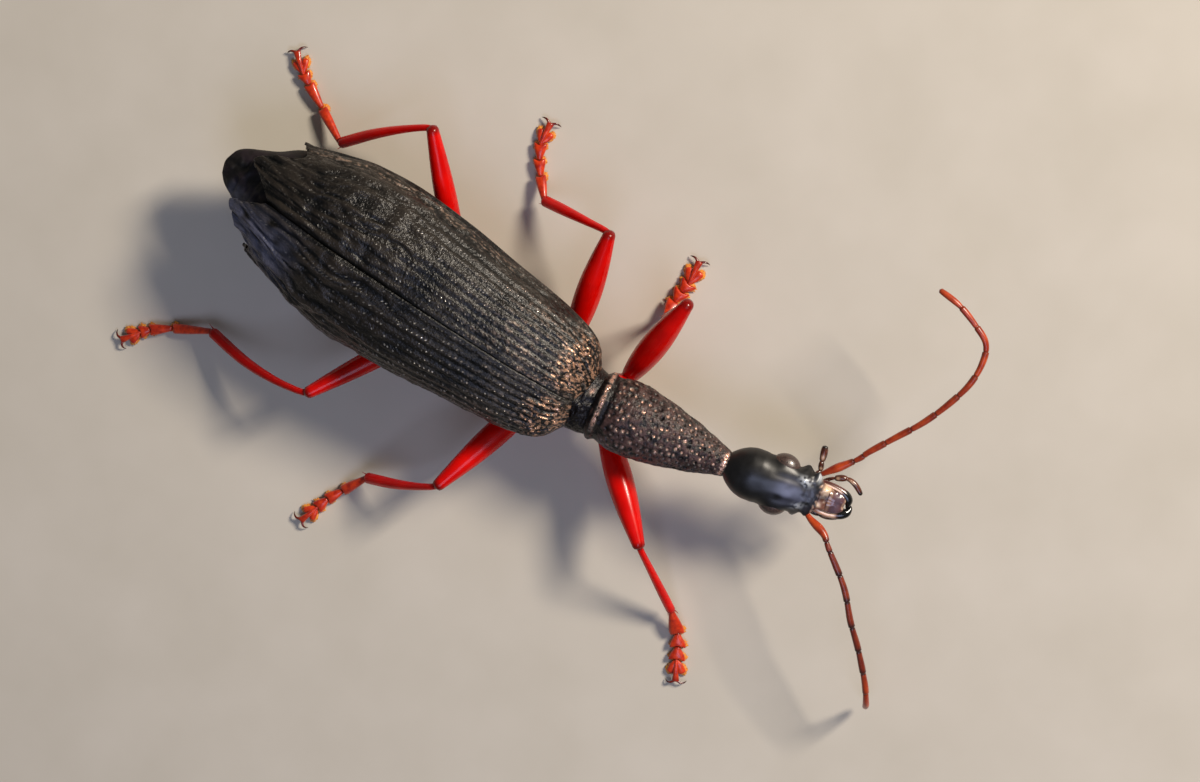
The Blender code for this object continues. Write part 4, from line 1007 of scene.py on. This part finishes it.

# %% [markdown]
# ## Legs
# From the body outwards a leg has a hip (coxa), a small ring joint (trochanter), the thigh, the shin and a
# foot of five joints. The thigh is a spindle that is thickest before its middle. The shin is slender,
# widens towards the foot and ends in two spurs. The places of hips, knees and ankles are those of the CAD.
# The bow says how far a shin curves aside, the shade how much painted shade darkens a leg that lies in
# shadow, and the foot gives a heading in degrees and a length for each of its first three joints, then for
# the last two together.

# %% Leg places and sizes
LEGS = {
    "fore_left": {"root": (0.72, -1.25, 1.5), "knee": (4.94, -1.58, 3.9), "ankle": (3.3, -1.22),
                  "foot": ((4, 0.6), (-1, 0.43), (-8, 0.37), (8, 1.16))},
    "fore_right": {"root": (-0.62, -1.2, 1.45), "knee": (-3.44, -4.84, 3.0), "ankle": (-5.4, -7.08),
                   "foot": ((-137, 1.01), (-147, 0.5), (-152, 0.48), (-150, 1.1))},
    "mid_left": {"root": (0.7, 1.0, 1.2), "knee": (5.27, 1.94, 3.1), "ankle": (4.41, 4.48),
                 "foot": ((48, 0.84), (37, 0.57), (28, 0.54), (6, 1.12))},
    "mid_right": {"root": (-0.7, 0.8, 1.2), "knee": (-5.66, 2.17, 3.0), "ankle": (-7.52, 4.44),
                  "bow": 0.1, "foot": ((154, 1.2), (154, 0.66), (163, 0.5), (162, 1.1))},
    "hind_left": {"root": (0.75, 5.55, 1.15), "knee": (4.92, 8.92, 3.1), "ankle": (2.12, 11.5),
                  "bow": -0.12, "foot": ((66, 1.39), (62, 0.94), (58, 0.4), (49, 1.12))},
    # The right hind leg gets painted shade, as it lies in shadow.
    "hind_right": {"root": (-0.75, 4.95, 1.15), "knee": (-5.43, 7.7, 3.1), "ankle": (-6.18, 11.83),
                   "bow": 0.26, "shade": 0.3, "foot": ((123, 1.6), (129, 0.84), (138, 0.36), (145, 1.08))},
}
THIGH_GIRTHS = {"fore": 0.5, "mid": 0.48, "hind": 0.4}
SHIN_SHARES = (0, 0.1, 0.35, 0.65, 1)
ANKLE_HEIGHT = 0.72


def leg_places(leg):
    """Hip, knee and ankle. All ankles are at one height."""
    return Vector(leg["root"]), Vector(leg["knee"]), Vector((*leg["ankle"], ANKLE_HEIGHT))


def spur_size(share):
    """A spur that tapers to a point."""
    radius = (1 - share) * 0.028 + 0.004
    return radius, radius, 0.6


def add_leg(name, leg):
    """Hip, ring joint, thigh and shin of one leg, in one piece."""
    root, knee, ankle = leg_places(leg)
    girth = THIGH_GIRTHS[name.split("_")[0]]
    shin_growth = 0.05 if name.startswith("fore") else 0.085
    thigh = (knee - root).normalized()
    shin = (ankle - knee).normalized()
    side = thigh.cross(UP).normalized()

    def thigh_size(share):
        thin = 0.3 - 0.09 * share
        radius = (thin + (girth - thin) * sin(pi * share ** 0.78) ** 1.15) * round_ends(share, 0.035)
        tone = 0.75 * ease(share, 0.93, 0.05) + 0.5 * ease(1 - share / 0.15)
        # Painted shade darkens a whole thigh that lies in shadow.
        return radius * 0.95, radius, max(tone, 0.6 * leg.get("shade", 0))

    def shin_size(share):
        radius = (0.115 + shin_growth * ease(share / 0.85)) * round_ends(share, 0.03)
        tone = 0.6 * ease(1 - share / 0.06) + 0.35 * ease(share, 0.86, 0.12)
        # The same painted shade on the shin.
        return radius, radius, max(tone, leg.get("shade", 0))

    body = ball(root + UP * 0.42, (side * 0.46, side.cross(UP) * 0.42, UP * 0.78))
    ring = (side * 0.27, thigh * 0.42, side.cross(thigh) * 0.28)
    merge_into(body, ball(root + thigh * 0.42 - UP * 0.05, ring))
    start = root + thigh * 0.45
    middle = start.lerp(knee, 0.5) + UP * 0.05
    merge_into(body, limb((start, middle, knee + thigh * 0.08), 24, 60, thigh_size))
    outward = UP.cross(shin).normalized()
    bow = leg.get("bow", 0)
    path = [knee.lerp(ankle, share) + outward * bow * sin(pi * share) for share in SHIN_SHARES]
    path[0] = knee - thigh * 0.06
    path[-1] = ankle + shin * 0.06
    merge_into(body, limb(path, 20, 80, shin_size, lean=thigh))
    for turn in (-1, 1):
        foot_side = shin.cross(UP).normalized() * turn
        tip = ankle + shin * 0.1 + foot_side * 0.14
        spur = [ankle - shin * 0.04 + foot_side * 0.08, tip, tip + shin * 0.18 + foot_side * 0.05]
        merge_into(body, limb(spur, 8, 10, spur_size, lean=thigh))
    nodes = [f"{name}_{part}" for part in ("coxa", "femur", "tibia")]
    finish_piece(name + "_leg", body, leg_cuticle, nodes)


for name, leg in LEGS.items():
    add_leg(name, leg)

# %% [markdown]
# ## Feet
# The foot's first three joints are cups that widen to their front corners, the fourth is split into two
# long lobes, and the fifth is a slim fan with two curved claws. Under the joints sit pads of sticky hair,
# which stand out at their sides and look yellow. The fore feet are broader than the others.

# %% Foot joints
FOOT_HALF_WIDTHS = {"fore": (0.27, 0.29, 0.3), "mid": (0.19, 0.21, 0.23), "hind": (0.18, 0.2, 0.23)}
FOOT_NECK = 0.1


def heading_vector(degrees):
    """A level direction at so many degrees from the beetle's left."""
    return Vector((cos(radians(degrees)), sin(radians(degrees)), 0))


def foot_joint(start, end, half_width):
    """One foot joint: a flat cup that widens to its front corners, with a hollow front edge."""
    forward = (end - start).normalized()
    side = forward.cross(UP).normalized()
    rise = side.cross(forward)
    length = (end - start).length

    def shape(across, along):
        angle = 2 * pi * across
        close = round_ends(0.5 + along / 2, 0.06) * round_ends(along, 0.06)
        grow = ease(min(along * 1.2, 1)) ** 0.8
        aside = (FOOT_NECK + (half_width - FOOT_NECK) * grow) * cos(angle) * close
        high = (0.08 + 0.05 * sin(pi * along * 0.85)) * close
        hollow = 0.13 * max(1 - (aside / half_width) ** 2, 0) * along ** 3
        place = start + forward * (length * along - hollow) + side * aside + rise * high * sin(angle)
        return place, {"tone": 0.5 * ease(1 - along / 0.25)}

    return tube(28, 24, shape)


def pad(centre, ahead, half_length, half_width):
    """A cushion of sticky hair under a joint, with an uneven edge."""
    across = UP.cross(ahead)
    body = ball(centre, (ahead * half_length, across * half_width, UP * 0.085), columns=36)
    for vert in body.verts:
        away = vert.co - centre
        away.z *= 0.3
        vert.co += away * 0.35 * noise.noise(vert.co * 26)
    return body


def claw_size(share):
    """A claw that tapers to a dark point."""
    radius = 0.05 * (1 - share) ** 0.8 + 0.005
    return radius, radius, share ** 0.6


# %% Feet
def add_foot(name, leg):
    """The five joints of a foot, its pads and its claws."""
    _, knee, ankle = leg_places(leg)
    half_widths = FOOT_HALF_WIDTHS[name.split("_")[0]]
    position = ankle + (ankle - knee).normalized() * 0.03
    body, pads, claws = new_body(), new_body(), new_body()
    for number, (heading, length) in enumerate(leg["foot"][:3]):
        ahead = heading_vector(heading)
        end = (ankle if number == 0 else position) + ahead * length
        end.z = 0.27 - 0.03 * number
        merge_into(body, foot_joint(position - ahead * 0.04, end + ahead * 0.08, half_widths[number]))
        centre = Vector((end.x, end.y, 0.1)) - ahead * 0.1
        merge_into(pads, pad(centre, ahead, 0.19, half_widths[number] + 0.03))
        position = end
    heading, length = leg["foot"][3]
    ahead = heading_vector(heading)
    lobe_length, lobe_half = (0.56, 0.145) if name.startswith("fore") else (0.52, 0.12)
    for turn in (-1, 1):
        outward = heading_vector(heading + turn * 25)
        path = [position - outward * 0.06, position + outward * 0.28,
                position + outward * lobe_length - UP * 0.06]

        def lobe_size(share):
            wide = (0.07 + (lobe_half - 0.07) * ease(share * 1.8)) * round_ends(share, 0.14)
            return wide, 0.08 * round_ends(share, 0.14), 0.4 * ease(1 - share / 0.3)

        merge_into(body, limb(path, 20, 28, lobe_size))
        centre = position + outward * (lobe_length - 0.16) + UP.cross(ahead) * turn * 0.03
        centre.z = 0.09
        merge_into(pads, pad(centre, outward, 0.23, lobe_half + 0.03))
    tip = position + ahead * (length - 0.3)
    tip.z = 0.22
    path = [position - ahead * 0.06 + UP * 0.05, position.lerp(tip, 0.5) + UP * 0.09, tip]

    def fan_size(share):
        close = round_ends(share, 0.06)
        wide, high = 0.055 + 0.085 * share ** 1.6, 0.055 + 0.02 * share
        return wide * close, high * close, 0.5 * ease(share * 2 - 1)

    merge_into(body, limb(path, 20, 34, fan_size))
    for turn in (-1, 1):
        outward = heading_vector(heading + turn * 78)
        root = tip - ahead * 0.05 + outward * 0.05
        path = [root, root + outward * 0.14 + ahead * 0.05, root + outward * 0.26 + ahead * 0.02 - UP * 0.05,
                root + outward * 0.34 - ahead * 0.04 - UP * 0.15]
        merge_into(claws, limb(path, 12, 26, claw_size))
    finish_piece(name + "_foot", body, foot_cuticle, [name + "_tarsus"])
    finish_piece(name + "_pads", pads, pad_hair)
    finish_piece(name + "_claws", claws, claw_cuticle)


for name, leg in LEGS.items():
    add_foot(name, leg)

# %% [markdown]
# ## Floor and light
# A pale matt floor shows the shape of the legs by their shadows. The light is that of a small photo tent
# with a warm soft box at the upper right, in front of the beetle's left side, and a broad cool panel at its
# other side, which lights the blue-grey sheen on the forehead and the right wing cover; that sheen is also
# painted into their colour. The standard view transform keeps the red of the legs as deep as it is.

# %% Floor
MOTTLE_MM, FLOOR_HALF_WIDTH = 4, 0.25
paint = Finish("matt_pale_board", Roughness=0.85)
mottle = paint.clouds(paint.place, MOTTLE_MM, 3)
paint.shade(Base_Color=paint.ramp(mottle, (0.3, "#c6bfb2"), (0.7, "#cdc6ba")))
body = bmesh.new()
bmesh.ops.create_grid(body, x_segments=2, y_segments=2, size=FLOOR_HALF_WIDTH)
board = put("floor", mesh_of("floor", body))
board.data.materials.append(paint.material)
print("floor", round(FLOOR_HALF_WIDTH * 2 / MM), "mm wide")

# %% Light
LIT_PLACE = Vector((0, 2, 2))
SKY, SKY_STRENGTH = "#dadcde", 0.14


def soft_box(name, direction, distance_mm, size_mm, watts, colour):
    """A square area light that looks at the middle of the beetle."""
    light = bpy.data.lights.new(name, "AREA")
    light.size = size_mm * MM
    light.energy = watts
    light.color = linear(colour)[:3]
    lamp = put(name, light)
    direction = direction.normalized()
    lamp.location = ORIGIN + LIT_PLACE * MM + direction * distance_mm * MM
    lamp.rotation_euler = direction.to_track_quat("Z", "Y").to_euler()


soft_box("key", picture_right * 0.8 + picture_up * 0.55 + UP * 0.95,
         distance_mm=170, size_mm=34, watts=0.34, colour="#fff3e2")
soft_box("cool_panel", towards_camera * 0.85 - picture_up * 0.53 + picture_right * 0.06,
         distance_mm=115, size_mm=60, watts=0.036, colour="#cdd8ff")
world = bpy.data.worlds.new("tent")
world.use_nodes = True
sky = world.node_tree.nodes["Background"].inputs
sky["Color"].default_value = linear(SKY)
sky["Strength"].default_value = SKY_STRENGTH
bpy.context.scene.world = world
bpy.context.scene.view_settings.view_transform = "Standard"
print("lights", [item.name for item in bpy.data.lights])
